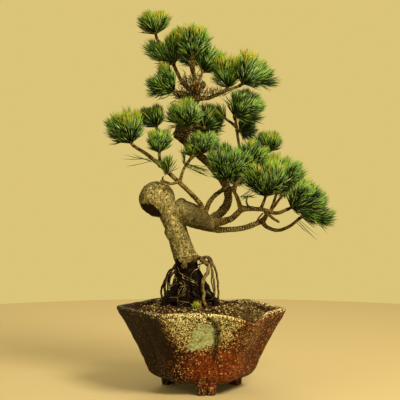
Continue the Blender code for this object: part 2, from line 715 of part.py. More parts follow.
def make_mass(owner, mass, paths, space, cutters, collection):
    """One tuft: a stem from its limb, shoots that fan from its base, and needles on the shoots."""
    chance = random.Random(100 + owner)
    base = Vector(mass.base)
    foot = point_along(paths[mass.limb], mass.along)
    obj = cone(mass.name, foot, base, (STEM_RADIUS, SHOOT_RADII[0]), 5, collection)
    pieces = new_collection("mass_pieces")
    inside = base - 0.8 * (base - foot).normalized()
    for shoot_foot, shoot_tip in shoots_of(mass):
        cone("shoot", inside, shoot_tip, SHOOT_RADII, 4, pieces)
    if mass.dense:
        make_core(mass, owner, space, pieces)
    wanted = NEEDLES_A_MASS if mass.dense else NEEDLES_A_SPARSE_MASS
    thick = NEEDLE_ROOT_RADIUS if mass.dense else SPARSE_ROOT_RADIUS
    shares = np.linspace(0.25, 1.0, 8)
    for root, direction, length in needles_of(mass, wanted, chance):
        line = np.array([root + float(share) * length * direction for share in shares], float)
        if not space.own(owner, line, SPACE_MARGIN).all():
            continue
        if not space.off_limbs(owner, line, LIMB_MARGIN).all():
            continue
        cone("needle", root, root + length * direction, (thick, 0), 3, pieces)
    apply_boolean(obj, "UNION", collection=pieces)
    remove_collection(pieces)
    keep_largest_body(obj)
    for name in limbs_in_reach(obj, paths):
        apply_boolean(obj, "DIFFERENCE", operand=cutters[name])
    keep_largest_body(obj)
    return obj


def limbs_in_reach(obj, paths):
    """The limbs that come within their clearance of this object's surface, or run inside it."""
    mesh = bmesh.new()
    mesh.from_mesh(obj.data)
    tree = BVHTree.FromBMesh(mesh)
    mesh.free()
    found = []
    for name, path in paths.items():
        fine, radii = dense_limbs({name: path})
        for centre, radius in zip(fine, radii):
            spot = Vector(metres(centre))
            nearest, normal, _, away = tree.find_nearest(spot)
            if away < (radius + 2 * CLEAR) * MM or (spot - nearest).dot(normal) < 0:
                found.append(name)
                break
    return found


def cut_live(obj, cutter):
    modifier = obj.modifiers.new("clear of " + cutter.name, "BOOLEAN")
    modifier.operation = "DIFFERENCE"
    modifier.solver = "EXACT"
    modifier.object = cutter


def main():
    clear_scene()
    parts = new_collection("japanese_white_pine")
    helpers = new_collection("cutters", hidden=True)

    bowl = make_bowl(parts)
    finish(bowl, principled("rough stoneware", (0.12, 0.055, 0.03), 0.7))
    soil = make_soil("soil", parts)
    finish(soil, principled("gritty soil", (0.13, 0.07, 0.035), 0.95))
    trunk = make_trunk("trunk", parts)
    finish(trunk, principled("pebbled bark", BARK, 0.9))

    limbs = LIMBS + ROOTS
    paths = {limb.name: limb_path(limb) for limb in limbs}
    cutters = {
        "trunk": make_trunk("trunk_clearance", helpers, CLEAR),
        "soil": make_soil("soil_clearance", helpers, CLEAR),
    }
    for limb in limbs:
        cutters[limb.name] = tube(
            limb.name + "_clearance", grown(paths[limb.name], CLEAR), helpers, sides_for(max(limb.radii))
        )
    for cutter in cutters.values():
        hide_as_cutter(cutter)
    for limb in limbs:
        obj = tube(limb.name, paths[limb.name], parts, sides_for(max(limb.radii)))
        for name in limb.cut_by:
            cut_live(obj, cutters[name])
        finish(obj, principled(limb.name + " bark", limb.colour, 0.9))

    tree = {limb.name: paths[limb.name] for limb in LIMBS}
    space = Space(tree)
    for owner, mass in enumerate(MASSES):
        obj = make_mass(owner, mass, tree, space, cutters, parts)
        finish(obj, principled(mass.name + " green", (0.10, 0.21, 0.06), 0.6))


main()
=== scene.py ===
# %% [markdown]
# # A potted Japanese white pine
#
# The real thing is a tree about 45 cm tall with its bowl. It stands on bare roots, swells into a
# round burl, turns right in one thick bough and carries some thirty brush-like tufts of needles.
# The CAD model gives every size and place. This script dresses it: bark with relief, twigs and
# needles one by one, a hand-built bowl with ash on it, and gritty soil.

# %% Load the frame
import collections
import functools
import math

import bpy
import numpy as np
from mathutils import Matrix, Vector


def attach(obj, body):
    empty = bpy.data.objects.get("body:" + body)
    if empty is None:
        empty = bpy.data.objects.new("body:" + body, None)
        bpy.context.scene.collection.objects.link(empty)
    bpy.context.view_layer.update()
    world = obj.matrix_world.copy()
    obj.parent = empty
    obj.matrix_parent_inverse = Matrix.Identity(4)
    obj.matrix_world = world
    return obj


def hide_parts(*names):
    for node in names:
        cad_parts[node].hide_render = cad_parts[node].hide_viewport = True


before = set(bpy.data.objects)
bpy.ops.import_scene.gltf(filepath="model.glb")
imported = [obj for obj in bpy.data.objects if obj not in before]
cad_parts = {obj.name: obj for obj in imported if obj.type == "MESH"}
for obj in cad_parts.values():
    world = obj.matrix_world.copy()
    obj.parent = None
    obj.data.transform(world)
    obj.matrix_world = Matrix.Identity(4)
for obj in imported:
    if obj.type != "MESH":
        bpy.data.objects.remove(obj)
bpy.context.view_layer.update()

# %% [markdown]
# ## Lengths and meshes
#
# All shapes below are worked out in millimetres from the middle of the bowl's floor, because a
# grower measures a small tree that way. One function turns them into the frame's metres. Every
# surface is an array of points and an array of triangles, so one more function makes any piece.

# %% From millimetres to the frame
PLANT_MIDDLE = np.array((20.8, 0.2, 0.0))
PER_METRE = 1000


def metres(points):
    """The point less the plant's middle, over a thousand."""
    return (np.asarray(points, float) - PLANT_MIDDLE) / PER_METRE


def mesh_of(name, points, faces, kinds=None, marks=None):
    """Triangles over points in millimetres, with a material number a face and named numbers a point."""
    mesh = bpy.data.meshes.new(name)
    mesh.vertices.add(len(points))
    mesh.vertices.foreach_set("co", metres(points).astype(np.float32).ravel())
    mesh.loops.add(faces.size)
    mesh.loops.foreach_set("vertex_index", faces.astype(np.int32).ravel())
    mesh.polygons.add(len(faces))
    mesh.polygons.foreach_set("loop_start", np.arange(0, faces.size, 3, dtype=np.int32))
    if kinds is not None:
        mesh.polygons.foreach_set("material_index", kinds.astype(np.int32))
    for mark, values in (marks or {}).items():
        attribute = mesh.attributes.new(mark, "FLOAT", "POINT")
        attribute.data.foreach_set("value", values.astype(np.float32))
    mesh.update(calc_edges=True)
    mesh.shade_smooth()
    return mesh


def in_scene(name, data):
    """A new object of this mesh, lamp or camera, linked to the scene."""
    made = bpy.data.objects.new(name, data)
    bpy.context.scene.collection.objects.link(made)
    return made


def piece(name, mesh, materials, stands_for=()):
    """The mesh as an object that rides on the plant, in place of the CAD nodes it stands for."""
    made = in_scene(name, mesh)
    for finish in materials:
        mesh.materials.append(finish)
    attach(made, "root")
    if stands_for:
        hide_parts(*stands_for)
    print(f"{name}: {len(mesh.polygons)} faces")


def joined(skins):
    """Several (points, faces) as one, each skin's faces counted on from the points before it."""
    starts = np.cumsum([0] + [len(points) for points, _ in skins[:-1]])
    points = np.vstack([points for points, _ in skins])
    return points, np.vstack([faces + start for start, (_, faces) in zip(starts, skins)])


def relief_piece(name, skins, materials, stands_for=()):
    """Skins that come with a relief for each point, joined as one piece."""
    skins, reliefs = zip(*skins)
    mesh = mesh_of(name, *joined(skins), marks={"relief": np.concatenate(reliefs)})
    piece(name, mesh, materials, stands_for)
    return mesh


# %% [markdown]
# ## The camera
#
# The photograph is taken from straight in front with a long lens, level with the crown, and its
# frame reaches further below the lens axis than above it. A level camera with a small downward
# shift gives the same picture and keeps the trunk's lines as they are. The standard view keeps the
# picked colours as they are, without a film's softening.

# %% Camera
camera_data = bpy.data.cameras.new("camera")
camera_data.sensor_width = 36
camera_data.lens = 97.5
camera_data.shift_y = -0.0735
camera = in_scene("camera", camera_data)
camera.location = metres((-1.8, -1300, 260))
camera.rotation_euler = (math.radians(90), 0, 0)
bpy.context.scene.camera = camera
bpy.context.scene.view_settings.view_transform = "Standard"
print("camera at", np.round(camera.location, 3).tolist())

# %% [markdown]
# ## Random bumps
#
# Bark, clay and soil are rough at several sizes at once. Two fields give that: a smooth noise for
# swellings, and a field of cells for pebbles, plates and pits. Both are worked out from a fixed
# scramble of whole numbers, so every run gives the same tree.

# %% Noise and cells
def scramble(cell, seed):
    """A fixed number from 0 to 1 for each whole-numbered cell, from its coordinates times large primes."""
    x, y, z = (cell[..., axis].astype(np.int64) for axis in range(3))
    mixed = (x * 73856093) ^ (y * 19349663) ^ (z * 83492791) ^ (seed * 26544357 + 977)
    mixed = (mixed ^ (mixed >> 13)) * 1274126177 & 0x7FFFFFFFFFFF
    mixed = mixed ^ (mixed >> 16)
    return (mixed & 0xFFFFFF) / 0xFFFFFF


def in_lattice(points, size):
    """Where the points are in a lattice of this size, and the corner below each of them."""
    spot = np.asarray(points, float) / size
    return spot, np.floor(spot).astype(np.int64)


def noise(points, size, seed=0):
    """From -1 to 1: numbers at the corners of a lattice, blended inside each cell by 3t^2 - 2t^3."""
    spot, low = in_lattice(points, size)
    part = spot - low
    part = part * part * (3 - 2 * part)
    total = np.zeros(spot.shape[:-1])
    for corner in np.ndindex(2, 2, 2):
        weight = np.where(corner, part, 1 - part).prod(axis=-1)
        total += weight * scramble(low + corner, seed)
    return 2 * total - 1


def noises(points, size, seed):
    """Three noises as one push in x, y and z."""
    return np.stack([noise(points, size, seed + k) for k in range(3)], -1)


def cells(points, size, seed=0):
    """Distance to the nearest and to the second nearest of one random point a cell, in sizes."""
    spot, low = in_lattice(points, size)
    first = np.full(spot.shape[:-1], 9.0)
    second = first.copy()
    for shift in np.ndindex(3, 3, 3):
        cell = low + shift - 1
        centre = cell + np.stack([scramble(cell, seed + k) for k in range(3)], axis=-1)
        away = np.linalg.norm(spot - centre, axis=-1)
        second = np.minimum(second, np.maximum(first, away))
        first = np.minimum(first, away)
    return first, second


print("noise of three points:", np.round(noise(np.eye(3) * 7.3, 2.0), 3).tolist())

# %% [markdown]
# ## Limbs from the source
#
# Each bough is a smooth line through a few points with a radius at each. These are the points of
# the CAD model, so the dressed limb lies where its solid lies.

# %% The limbs' lines
LIMBS = {
    "main_bough": ((11.5, 13.5, 13, 10.5, 8), (
        (-37, 0, 208), (-21, -2, 210), (-7, -4, 204), (5, -5, 198), (15, -6, 194))),
    "left_bough": ((3.6, 1.9), (
        (-1, -5, 203), (0, -8, 216), (-7, -12, 227), (-35, -18, 254), (-62, -16, 277), (-80, -12, 289))),
    "inner_bough": ((3.1, 2.6), ((3, -4, 201), (6, -1, 214), (14, 2, 228), (30, 4, 240))),
    "leader_lower": ((5.6, 5.2), ((4, -3, 199), (15, 5, 203), (25, 9, 211), (32, 8, 223), (31.5, 5, 237))),
    "leader_middle": ((5.0, 4.2), (
        (31.5, 4, 239), (19, 4, 257), (-4, 5, 280), (-16, 4, 291), (-25, 2, 299))),
    "leader_upper": ((6.5, 9.5, 5.5, 4, 3.6, 2.8), (
        (-25, 2, 298), (-22, 0, 309), (-17, 0, 321), (-10, 2, 335), (-5, 3, 349), (-8, 2, 364))),
    "apex_stem": ((2.2, 1.6), ((-8, 2, 362), (-9, 0, 378), (-10, -3, 390))),
    "top_left_bough": ((2.6, 1.6), (
        (-6, 3, 353), (-21, 11, 364), (-31, 16, 382), (-43, 15, 406), (-54, 7, 419))),
    "top_right_bough": ((2.8, 1.6), ((-5, 3, 347), (9, 2, 347.5), (25, -2, 354), (45, -6, 361))),
    "left_riser": ((1.9, 1.5), ((-49, -17, 265), (-51, -2, 285), (-54, 6, 309))),
    "fork_twig": ((1.8, 1.2), ((-26, -17, 246), (-21, -14, 262), (-13, -14, 273), (-3, -15, 281))),
    "middle_bough": ((4.2, 3.4), (
        (11, -7, 197), (23, -12, 199), (35, -16, 203), (43, -18, 210), (49, -18, 216))),
    "middle_bough_left": ((2.4, 2.2), ((47, -18, 213), (43, -14, 226), (38, -8, 237))),
    "middle_bough_rise": ((2.3, 2.3), ((38, -8, 236), (42, -3, 244), (50, 8, 252))),
    "middle_bough_right": ((2.9, 2.0), (
        (48, -18, 215), (60, -20, 215), (72, -22, 214), (88, -24, 210), (101, -22, 214))),
    "low_bough": ((4.6, 3.1), ((9, -5, 192), (20, -2, 189), (32, 2, 189), (51, 6, 191), (74, 8, 199))),
    "low_bough_link": ((2.6, 1.7), ((72, 8, 198), (77, -7, 207), (74, -21, 213.5))),
    "low_bough_right": ((2.4, 1.8), ((73, 8, 199), (79, 8, 192), (92, 6, 188), (106, 4, 193), (117, 2, 202))),
    "right_riser": ((2.1, 1.6), ((49.4, 7.2, 251.4), (52, 21, 268), (46, 22, 291), (41, 10, 322))),
    "back_bough_low": ((2.8, 1.8), ((31, 6, 233), (33, 28, 235), (41, 52, 240))),
    "back_bough_middle": ((2.6, 1.7), ((-4, 5, 280), (0, 28, 284), (4, 50, 296))),
    "back_bough_top": ((2.2, 1.5), ((-6, 3, 356), (-9, 24, 372), (-14, 42, 390))),
    "back_bough_right": ((2.3, 1.6), ((74, 8, 199), (84, 24, 210), (99, 42, 228))),
}


def smooth_path(points, radii, step=1.0):
    """Centres and radii on the line through the points. Between two of them it is the cubic whose
    slope at each is half the way from the point before it to the point after it."""
    points = np.array(points, float)
    if len(radii) != len(points):
        radii = np.linspace(radii[0], radii[-1], len(points))
    rows = np.column_stack([points, radii])
    rows = np.vstack([2 * rows[0] - rows[1], rows, 2 * rows[-1] - rows[-2]])
    found = []
    for before, start, end, after in zip(rows, rows[1:], rows[2:], rows[3:]):
        count = max(1, round(float(np.linalg.norm(end[:3] - start[:3])) / step))
        t = (np.arange(count) / count)[:, None]
        bend = (2 * before - 5 * start + 4 * end - after) * t**2
        twist = (3 * start - before - 3 * end + after) * t**3
        found.append(0.5 * (2 * start + (end - before) * t + bend + twist))
    found = np.vstack([*found, rows[-2:-1]])
    return found[:, :3], found[:, 3]


def travelled(centres):
    """How far along the line each centre is."""
    return np.concatenate([[0], np.cumsum(np.linalg.norm(np.diff(centres, axis=0), axis=1))])


paths = {name: smooth_path(points, radii) for name, (radii, points) in LIMBS.items()}
print("length of all limbs:", round(sum(travelled(centres)[-1] for centres, _ in paths.values())), "mm")

# %% [markdown]
# ## A tube along a line
#
# A limb could be a Blender curve with a bevel, but then the bark could only be painted on. Here
# the profile is carried along the line by hand, so that rings, knots and pebbles are real relief.

# %% Tube
def unit(vectors):
    """The same directions, one long."""
    vectors = np.asarray(vectors, float)
    return vectors / np.linalg.norm(vectors, axis=-1, keepdims=True)


def round_line(turn, side, front):
    """A direction square to a line: cos turn times one side of it and sin turn times the other."""
    return np.cos(turn) * side + np.sin(turn) * front


def upright(reach, angle, level):
    """Points round the upright axis: reach cos angle, reach sin angle, level."""
    return np.stack([reach * np.cos(angle), reach * np.sin(angle), level + 0 * angle], -1)


def full_turn(count):
    """Angles at even steps once round."""
    return np.linspace(0, 2 * np.pi, count, endpoint=False)


def grid_faces(rows, columns):
    """Two triangles for each cell of a grid whose last column meets its first, facing outwards."""
    i, j = np.meshgrid(np.arange(rows - 1), np.arange(columns), indexing="ij")
    a, b = i * columns + j, i * columns + (j + 1) % columns
    c, d = b + columns, a + columns
    return np.concatenate([np.stack(corners, -1).reshape(-1, 3) for corners in ((a, b, c), (a, c, d))])


def capped(grid, first, last):
    """A grid of rings closed by a fan onto one point at each end."""
    rows, columns = grid.shape[:2]
    points = np.vstack([grid.reshape(-1, 3), first, last])
    j = np.arange(columns)
    k = (j + 1) % columns
    foot, tip = np.full(columns, rows * columns), np.full(columns, rows * columns + 1)
    top = (rows - 1) * columns
    fans = [np.stack([foot, k, j], -1), np.stack([tip, top + j, top + k], -1)]
    return points, np.vstack([grid_faces(rows, columns), *fans])


def rings_along(centres, radii, sides):
    """Point j of ring i is radius i times (cos a, sin a), along two directions square to the line,
    from centre i. Returned are the points and the outward directions."""
    way = unit(np.gradient(centres, axis=0))
    guide = np.eye(3)[np.abs(way).max(axis=0).argmin()]
    side = unit(np.cross(way, guide))
    front = np.cross(way, side)
    turn = 2 * np.pi * np.arange(sides) / sides
    out = round_line(turn[None, :, None], side[:, None], front[:, None])
    return centres[:, None] + np.asarray(radii)[:, None, None] * out, out


def domed(grid, centres, radii, top=0.5):
    """Rings closed by low domes: half a radius high at the foot, and `top` of one at the tip."""
    first = centres[0] - 0.5 * radii[0] * unit(centres[1] - centres[0])
    last = centres[-1] + top * radii[-1] * unit(centres[-1] - centres[-2])
    return capped(grid, first, last)


def tube(centres, radii, sides):
    """A plain round tube with domed ends."""
    return domed(rings_along(centres, radii, sides)[0], centres, radii)


print("a test tube has", len(tube(*paths["apex_stem"], 8)[1]), "faces")

# %% [markdown]
# ## Finishes
#
# A finish is a tree of shader nodes. Colours are picked as sRGB codes from the look of the real
# material, and turned to linear light once, by one function. A pattern's scale is one over its
# real size in metres. A Look holds one such tree, with a short name for each kind of node.

# %% Colours and nodes
def linear(code):
    """An sRGB code as linear light: each channel over 12.92 when dark, else to the power 2.4."""
    parts = [int(code[i:i + 2], 16) / 255 for i in (1, 3, 5)]
    return (*[c / 12.92 if c <= 0.04045 else ((c + 0.055) / 1.055) ** 2.4 for c in parts], 1)


class Look:
    """A finish in the making: a material and its tree of nodes. Sizes are in millimetres."""

    def __init__(self, name, roughness, specular):
        self.material = bpy.data.materials.new(name)
        self.material.use_nodes = True
        self.tree = self.material.node_tree
        self.dress(Roughness=roughness, Specular_IOR_Level=specular)

    def give(self, socket, value):
        """A socket takes another node's output, or a value, where text is a colour's code."""
        if isinstance(value, bpy.types.NodeSocket):
            self.tree.links.new(value, socket)
        else:
            socket.default_value = linear(value) if isinstance(value, str) else value

    def dress(self, **sockets):
        """Gives the shader's own sockets what they take, and returns the material."""
        for name, value in sockets.items():
            self.give(self.tree.nodes["Principled BSDF"].inputs[name.replace("_", " ")], value)
        return self.material

    def node(self, kind, inputs=None, **settings):
        """A new node with these settings, its inputs given by name or number."""
        made = self.tree.nodes.new("ShaderNode" + kind)
        for name, value in settings.items():
            setattr(made, name, value)
        for name, value in (inputs or {}).items():
            self.give(made.inputs[name], value)
        return made

    @functools.cached_property
    def where(self):
        """Where a point is on the object, in metres."""
        return self.node("TexCoord").outputs["Object"]

    def axes(self, vector):
        """A vector's X, Y and Z."""
        return self.node("SeparateXYZ", {0: vector}).outputs

    def mark(self, name):
        """The number that the mesh's points carry under this name."""
        return self.node("Attribute", attribute_name=name).outputs["Fac"]

    def noise(self, size, detail, **more):
        """Soft random patches of this size, from 0 to 1."""
        inputs = {"Vector": self.where, "Scale": PER_METRE / size, "Detail": detail, **more}
        return self.node("TexNoise", inputs).outputs["Fac"]

    def cells(self, size):
        """Cells of this size: a random colour for each, and the distance from its middle."""
        return self.node("TexVoronoi", {"Vector": self.where, "Scale": PER_METRE / size}).outputs

    def near(self, middle, size):
        """1 at the middle, falling to 0 on an ellipsoid of these half sizes."""
        scale = PER_METRE / np.array(size, float)
        shift = (-metres(middle) * scale).tolist()
        inputs = {"Vector": self.where, "Location": shift, "Scale": scale.tolist()}
        centred = self.node("Mapping", inputs).outputs[0]
        return self.node("TexGradient", {0: centred}, gradient_type="SPHERICAL").outputs["Fac"]

    def math(self, operation, *values):
        """One sum of up to three values."""
        return self.node("Math", dict(enumerate(values)), operation=operation).outputs[0]

    def ranged(self, value, start, end, low, high):
        """Low where the value is start and high where it is end, and no further beyond them."""
        return self.node("MapRange", dict(enumerate((value, start, end, low, high)))).outputs[0]

    def over(self, colour, share, top):
        """A top colour laid over this one by a share."""
        return self.node("Mix", {0: share, 6: colour, 7: top}, data_type="RGBA").outputs[2]

    def ramp(self, value, *stops):
        """A colour for each value, blended between the stops."""
        made = self.node("ValToRGB", {"Fac": value})
        elements = made.color_ramp.elements
        while len(elements) < len(stops):
            elements.new(1.0)
        for element, (place, code) in zip(elements, stops):
            element.position = place
            element.color = linear(code)
        return made.outputs[0]

    def bump(self, strength, metres_high, height):
        """The shader's normal tilted by a height from 0 to 1."""
        inputs = {"Strength": strength, "Distance": metres_high, "Height": height}
        return self.node("Bump", inputs).outputs[0]


print("linear of middle grey:", round(linear("#808080")[0], 3))

# %% [markdown]
# ## Bark
#
# Old white pine bark is grey-olive and breaks into small pebbly plates with dark pits between them. Younger
# wood is redder and ringed by the scars of old needles. The relief is in the mesh, and a number on each point
# says how high it stands. The finish reads that number and paints pits dark and crests pale: partly dust, and
# partly painted shade in the pits and painted highlight on the crests.

# %% Bark finishes
def bark(name, pit, body, crest, blotch, blotch_share, grain_size=1.4):
    """Dull bark: a ramp from a dark pit to a pale crest over the relief, partly painted shade and highlight,
    with blotches of lichen or old scale.
    """
    look = Look(name, 0.92, 0.06)
    grain = look.noise(grain_size, 4.0)
    height = look.math("SUBTRACT", look.math("MULTIPLY_ADD", grain, 1.3, look.mark("relief")), 0.65)
    # Painted shade in the pits and painted highlight on the crests, over the bark's own grain.
    colour = look.ramp(height, (0.12, pit), (0.42, body), (0.85, crest))
    colour = look.over(colour, look.ranged(look.noise(9.0, 4.0), 0.5, 0.66, 0.0, blotch_share), blotch)
    look.dress(Base_Color=colour, Normal=look.bump(0.5, 0.0004, grain))
    return look, colour


young_bark = bark("young pine bark", "#191007", "#443617", "#806c3b", "#5f5833", 0.5)[0].material
dark_bark = bark("dark old leader bark", "#0c0905", "#332a17", "#77683f", "#5b5130", 0.5)[0].material
print("barks:", young_bark.name, "and", dark_bark.name)

# %% [markdown]
# The trunk's bark changes with its place. It is palest on the burl and on the low bough, and dusky along the
# thick bough between them, and its left side, away from the key light, is darkened as painted shade.
# Below about 145 mm the trunk is a bundle of roots that once were under the soil, black with old peat. Low on
# the burl's left is a cut face where a thick stem was taken off, dark red-brown, and darker still as painted
# shade because it faces down and away from the light. All are painted by place over the pebbled bark.

# %% Trunk finish
CUT_MIDDLE, CUT_REACH = (-61.5, -9.0, 210.5), (16.5, 16.5, 16.5)


def old_bark_finish():
    """Pebbled bark with painted shade on its left side, root black below the bundle's top, and the brown cut
    face on the burl with painted shade on it.
    """
    look, colour = bark("pebbled old bark", "#231b0c", "#5f5631", "#b0a56c", "#776f48", 0.5, grain_size=1.6)
    place = look.axes(look.where)
    # Painted shade: faces turned to the left, away from the key lamp, are darkened.
    normal_x_for_left_shade = look.axes(look.node("NewGeometry").outputs["Normal"])["X"]
    colour = look.over(colour, look.ranged(normal_x_for_left_shade, -0.1, -0.95, 0.0, 0.7), "#2b2411")
    # Dusky between the burl and the low bough.
    past_burl = look.ranged(place["X"], -0.056, -0.03, 0.0, 0.85)
    before_bough = look.ranged(place["X"], -0.014, 0.004, 0.9, 0.15)
    above_roots = look.ranged(place["Z"], 0.16, 0.19, 0.2, 1.0)
    dusky = look.math("MULTIPLY", look.math("MINIMUM", past_burl, before_bough), above_roots)
    colour = look.over(colour, dusky, "#312a16")
    # Black roots under a ragged edge.
    ragged, strand = look.noise(7.0, 2.0), look.noise(3.0, 3.0)
    edge = look.math("MULTIPLY_ADD", ragged, -0.016, place["Z"])
    peat = look.ramp(strand, (0.35, "#080503"), (0.6, "#120c08"), (0.74, "#33271a"))
    colour = look.over(colour, look.ranged(edge, 0.1465, 0.143, 0.0, 1.0), peat)
    # The cut face: dark red-brown wood, darkened to near black as painted shade.
    cut = look.math("MULTIPLY_ADD", ragged, 0.35, look.near(CUT_MIDDLE, CUT_REACH))
    wood = look.ramp(strand, (0.3, "#080402"), (0.7, "#210f08"))
    return look.dress(Base_Color=look.over(colour, look.ranged(cut, 0.3, 0.4, 0.0, 0.96), wood))


old_bark = old_bark_finish()
print("trunk finish:", old_bark.name)

# %% [markdown]
# ## Trunk, burl and thick boughs
#
# Where roots run into a trunk, or a bough leaves a burl, the wood flows from one into the other.
# Separate tubes would show a hard seam there. So the tubes are joined, skinned again on a fine
# grid of cubes and smoothed, and only then does the bark push the skin in and out.

# %% Skin round several tubes
def read_numbers(items, attribute, width, kind):
    """One attribute of all vertices or triangles, as rows."""
    numbers = np.empty(len(items) * width, kind)
    items.foreach_get(attribute, numbers)
    return numbers.reshape(-1, width)


def grown_together(name, skins, voxel, rounds):
    """One closed skin round overlapping ones, on cubes `voxel` millimetres wide, smoothed."""
    rough = in_scene(name + "_rough", mesh_of(name + "_rough", *joined(skins)))
    remesh = rough.modifiers.new("skin", "REMESH")
    remesh.mode = "VOXEL"
    remesh.voxel_size = voxel / PER_METRE
    smooth = rough.modifiers.new("flow", "SMOOTH")
    smooth.factor = 0.5
    smooth.iterations = rounds
    graph = bpy.context.evaluated_depsgraph_get()
    mesh = bpy.data.meshes.new_from_object(rough.evaluated_get(graph))
    bpy.data.objects.remove(rough, do_unlink=True)
    mesh.calc_loop_triangles()
    points = read_numbers(mesh.vertices, "co", 3, np.float32)
    normals = read_numbers(mesh.vertex_normals, "vector", 3, np.float32)
    faces = read_numbers(mesh.loop_triangles, "vertices", 3, np.int32)
    bpy.data.meshes.remove(mesh)
    return points.astype(float) * PER_METRE + PLANT_MIDDLE, normals.astype(float), faces


def distances(points, spots):
    """How far each point is from each spot."""
    return np.linalg.norm(points[:, None].astype(np.float32) - spots[None].astype(np.float32), axis=2)


def nearest_line(points, lines):
    """For each point, which line's skin is nearest, and how far along that line it is."""
    gaps, alongs = [], []
    for centres, radii in lines:
        away = distances(points, centres)
        spot = away.argmin(axis=1)
        gaps.append(away.min(axis=1) - radii[spot])
        alongs.append(travelled(centres)[spot])
    owner = np.array(gaps).argmin(axis=0)
    return owner, np.array(alongs)[owner, np.arange(len(owner))]


# %% [markdown]
# The trunk's own lines are the source's: the leaning column, the burl as a ball, and seven roots
# that splay from the bundle to the soil. Thin strands come over them further down.

# %% Trunk lines
TRUNK_LINE = (
    (-16, 0, 92), (-16, 0, 123), (-17, 0, 142), (-21, 0, 161), (-28, 0, 181), (-35, 0, 201), (-43, 0, 220))
TRUNK_RADII = (20, 15.5, 13.6, 14, 13, 13, 12)
BURL_MIDDLE = np.array((-53.4, 0, 225.8))
BURL_RADII = (21.6, 20, 21.6)
LEG_ANGLES = (-15, -62, -108, -158, 165, 110, 52)
LEG_FOOT_OUT = (33, 25, 27, 34, 30, 25, 30)


def root_leg(degrees, out):
    """A root from high on the bundle, outwards and down to below the soil's surface."""
    x, y = math.cos(math.radians(degrees)), math.sin(math.radians(degrees))
    return smooth_path(
        ((-16 + 9 * x, 8 * y, 142), (-15 + 14 * x, 13 * y, 126),
         (-14 + (out - 6) * x, (out - 8) * y, 108), (-13 + (out + 4) * x, (out + 1) * y, 92)),
        (4.5, 5.5, 5.0, 4.6))


def ball(middle, radii, rows=24, sides=32):
    """An ellipsoid: rings of radius sin b at height -cos b, stretched by the three radii."""
    middle, radii = np.array(middle, float), np.array(radii, float)
    b = np.linspace(0, np.pi, rows + 2)[1:-1, None]
    grid = upright(np.sin(b), full_turn(sides)[None], -np.cos(b))
    up = np.array((0, 0, 1.0)) * radii
    return capped(grid * radii + middle, middle - up, middle + up)


legs = [root_leg(degrees, out) for degrees, out in zip(LEG_ANGLES, LEG_FOOT_OUT)]
column = smooth_path(TRUNK_LINE, TRUNK_RADII)
print("root legs:", len(legs))

# %% [markdown]
# On the main bough's top sits a small hump where another stem was cut long ago, a swelling lies
# under the burl, and the bark's edge hangs over the root bundle like a collar. All three are
# extra balls in the same skin, as in the source.

# %% Trunk skin
TRUNK_BALLS = (((-24.5, -2, 219), (7.5, 8, 8)), ((-36, -3, 188), (9, 9, 12)),
               ((-19.5, 0, 158), (15.4, 15.2, 7)))
skins = [tube(*column, 28), ball(BURL_MIDDLE, BURL_RADII), tube(*paths["main_bough"], 28)]
skins += [tube(*paths["low_bough"], 18)] + [tube(*leg, 14) for leg in legs]
middle_foot = [part[:14] for part in paths["middle_bough"]]
skins += [ball(*extra) for extra in TRUNK_BALLS] + [tube(*middle_foot, 18)]
points, normals, faces = grown_together("trunk", skins, voxel=0.85, rounds=5)
owner, along = nearest_line(points, [column, paths["main_bough"], paths["low_bough"], middle_foot, *legs])
print("trunk skin:", len(points), "points,", len(faces), "faces")

# %% [markdown]
# The relief is three sizes laid over each other: swellings of a centimetre, corky flakes of two to
# four millimetres that stand upright, and on the low bough the rings of old scars. On the
# roots the flakes give way to lengthwise cords. The cut face on the burl is pressed flat.

# %% Trunk relief
RINGED_LINES = (2, 3)  # the low bough and the foot of the middle one
ROOTS_TOP, TRUNK_SOLE = 152, 93.5
CUT_WAY, CUT_DEPTH = unit((-0.42, -0.44, -0.79)), 16.6  # a plane this far from the burl's middle


def plates(points, size, seed):
    """From 0 in the pits to 1 on the plates: the gap between the two nearest cell middles."""
    first, second = cells(points + 0.8 * noises(points, 3, seed), size, seed)
    return np.clip((second - first) * 2.4, 0, 1) * (1 - 0.45 * first)


def net(points, size, seed):
    """From 0 in the meshes to 1 on the cords: one minus the gap between the two nearest cells."""
    first, second = cells(points + 1.1 * noises(points, 3, seed), size, seed)
    return np.clip(1.15 - 2.2 * (second - first), 0, 1)


def scar_rings(along, spacing, wobble):
    """From 0 in the groove to 1 on the ring: the square of a half wave along the limb."""
    return np.sin(np.pi * (along / spacing + 0.35 * wobble)) ** 2


in_roots = np.clip((ROOTS_TOP - points[:, 2] + 3 * noise(points, 7, 5)) / 5, 0, 1)
tall = points * (1, 1, 0.6)
pebbled = 0.25 * plates(tall, 2.3, 11) + 0.15 * net(tall, 3.6, 12) + 0.3 + 0.3 * noise(tall, 1.3, 14)
pebbled = np.clip(pebbled, 0, 1)
cords = plates(points * (1, 1, 0.22), 3.2, 31)
slim = np.isin(owner, RINGED_LINES)
ringed = scar_rings(along, 3.0, noise(points, 5, 8)) * slim
relief = np.where(in_roots > 0.5, cords, np.maximum(pebbled * (1 - 0.6 * slim), 0.8 * ringed))
lift = 0.9 * noise(points, 14, 2) + 0.6 * noise(points, 5, 3) + 0.9 * (relief - 0.45)
lift += in_roots * (1.1 * (cords - 0.5) + 0.8 * noise(points * (1, 1, 0.4), 6, 4))
lift *= np.where(slim, 0.6, 1)
points = points + normals * lift[:, None]
beyond = np.clip((points - BURL_MIDDLE) @ CUT_WAY - CUT_DEPTH + 0.7 * noise(points, 4, 9), 0, None)
on_burl = np.linalg.norm(points - BURL_MIDDLE, axis=1) < 24
points = points - 0.9 * (beyond * on_burl)[:, None] * CUT_WAY
points[:, 2] = np.maximum(points[:, 2], TRUNK_SOLE)
relief_piece("old_trunk", [((points, faces), relief)], [old_bark],
             ("trunk", "main_bough", "low_bough"))

# %% [markdown]
# ## The dark leader
#
# The leader is the oldest of the upper wood, very dark, with knots where boughs were pruned. Its
# three stretches are skinned together too, with a few balls for the knots.

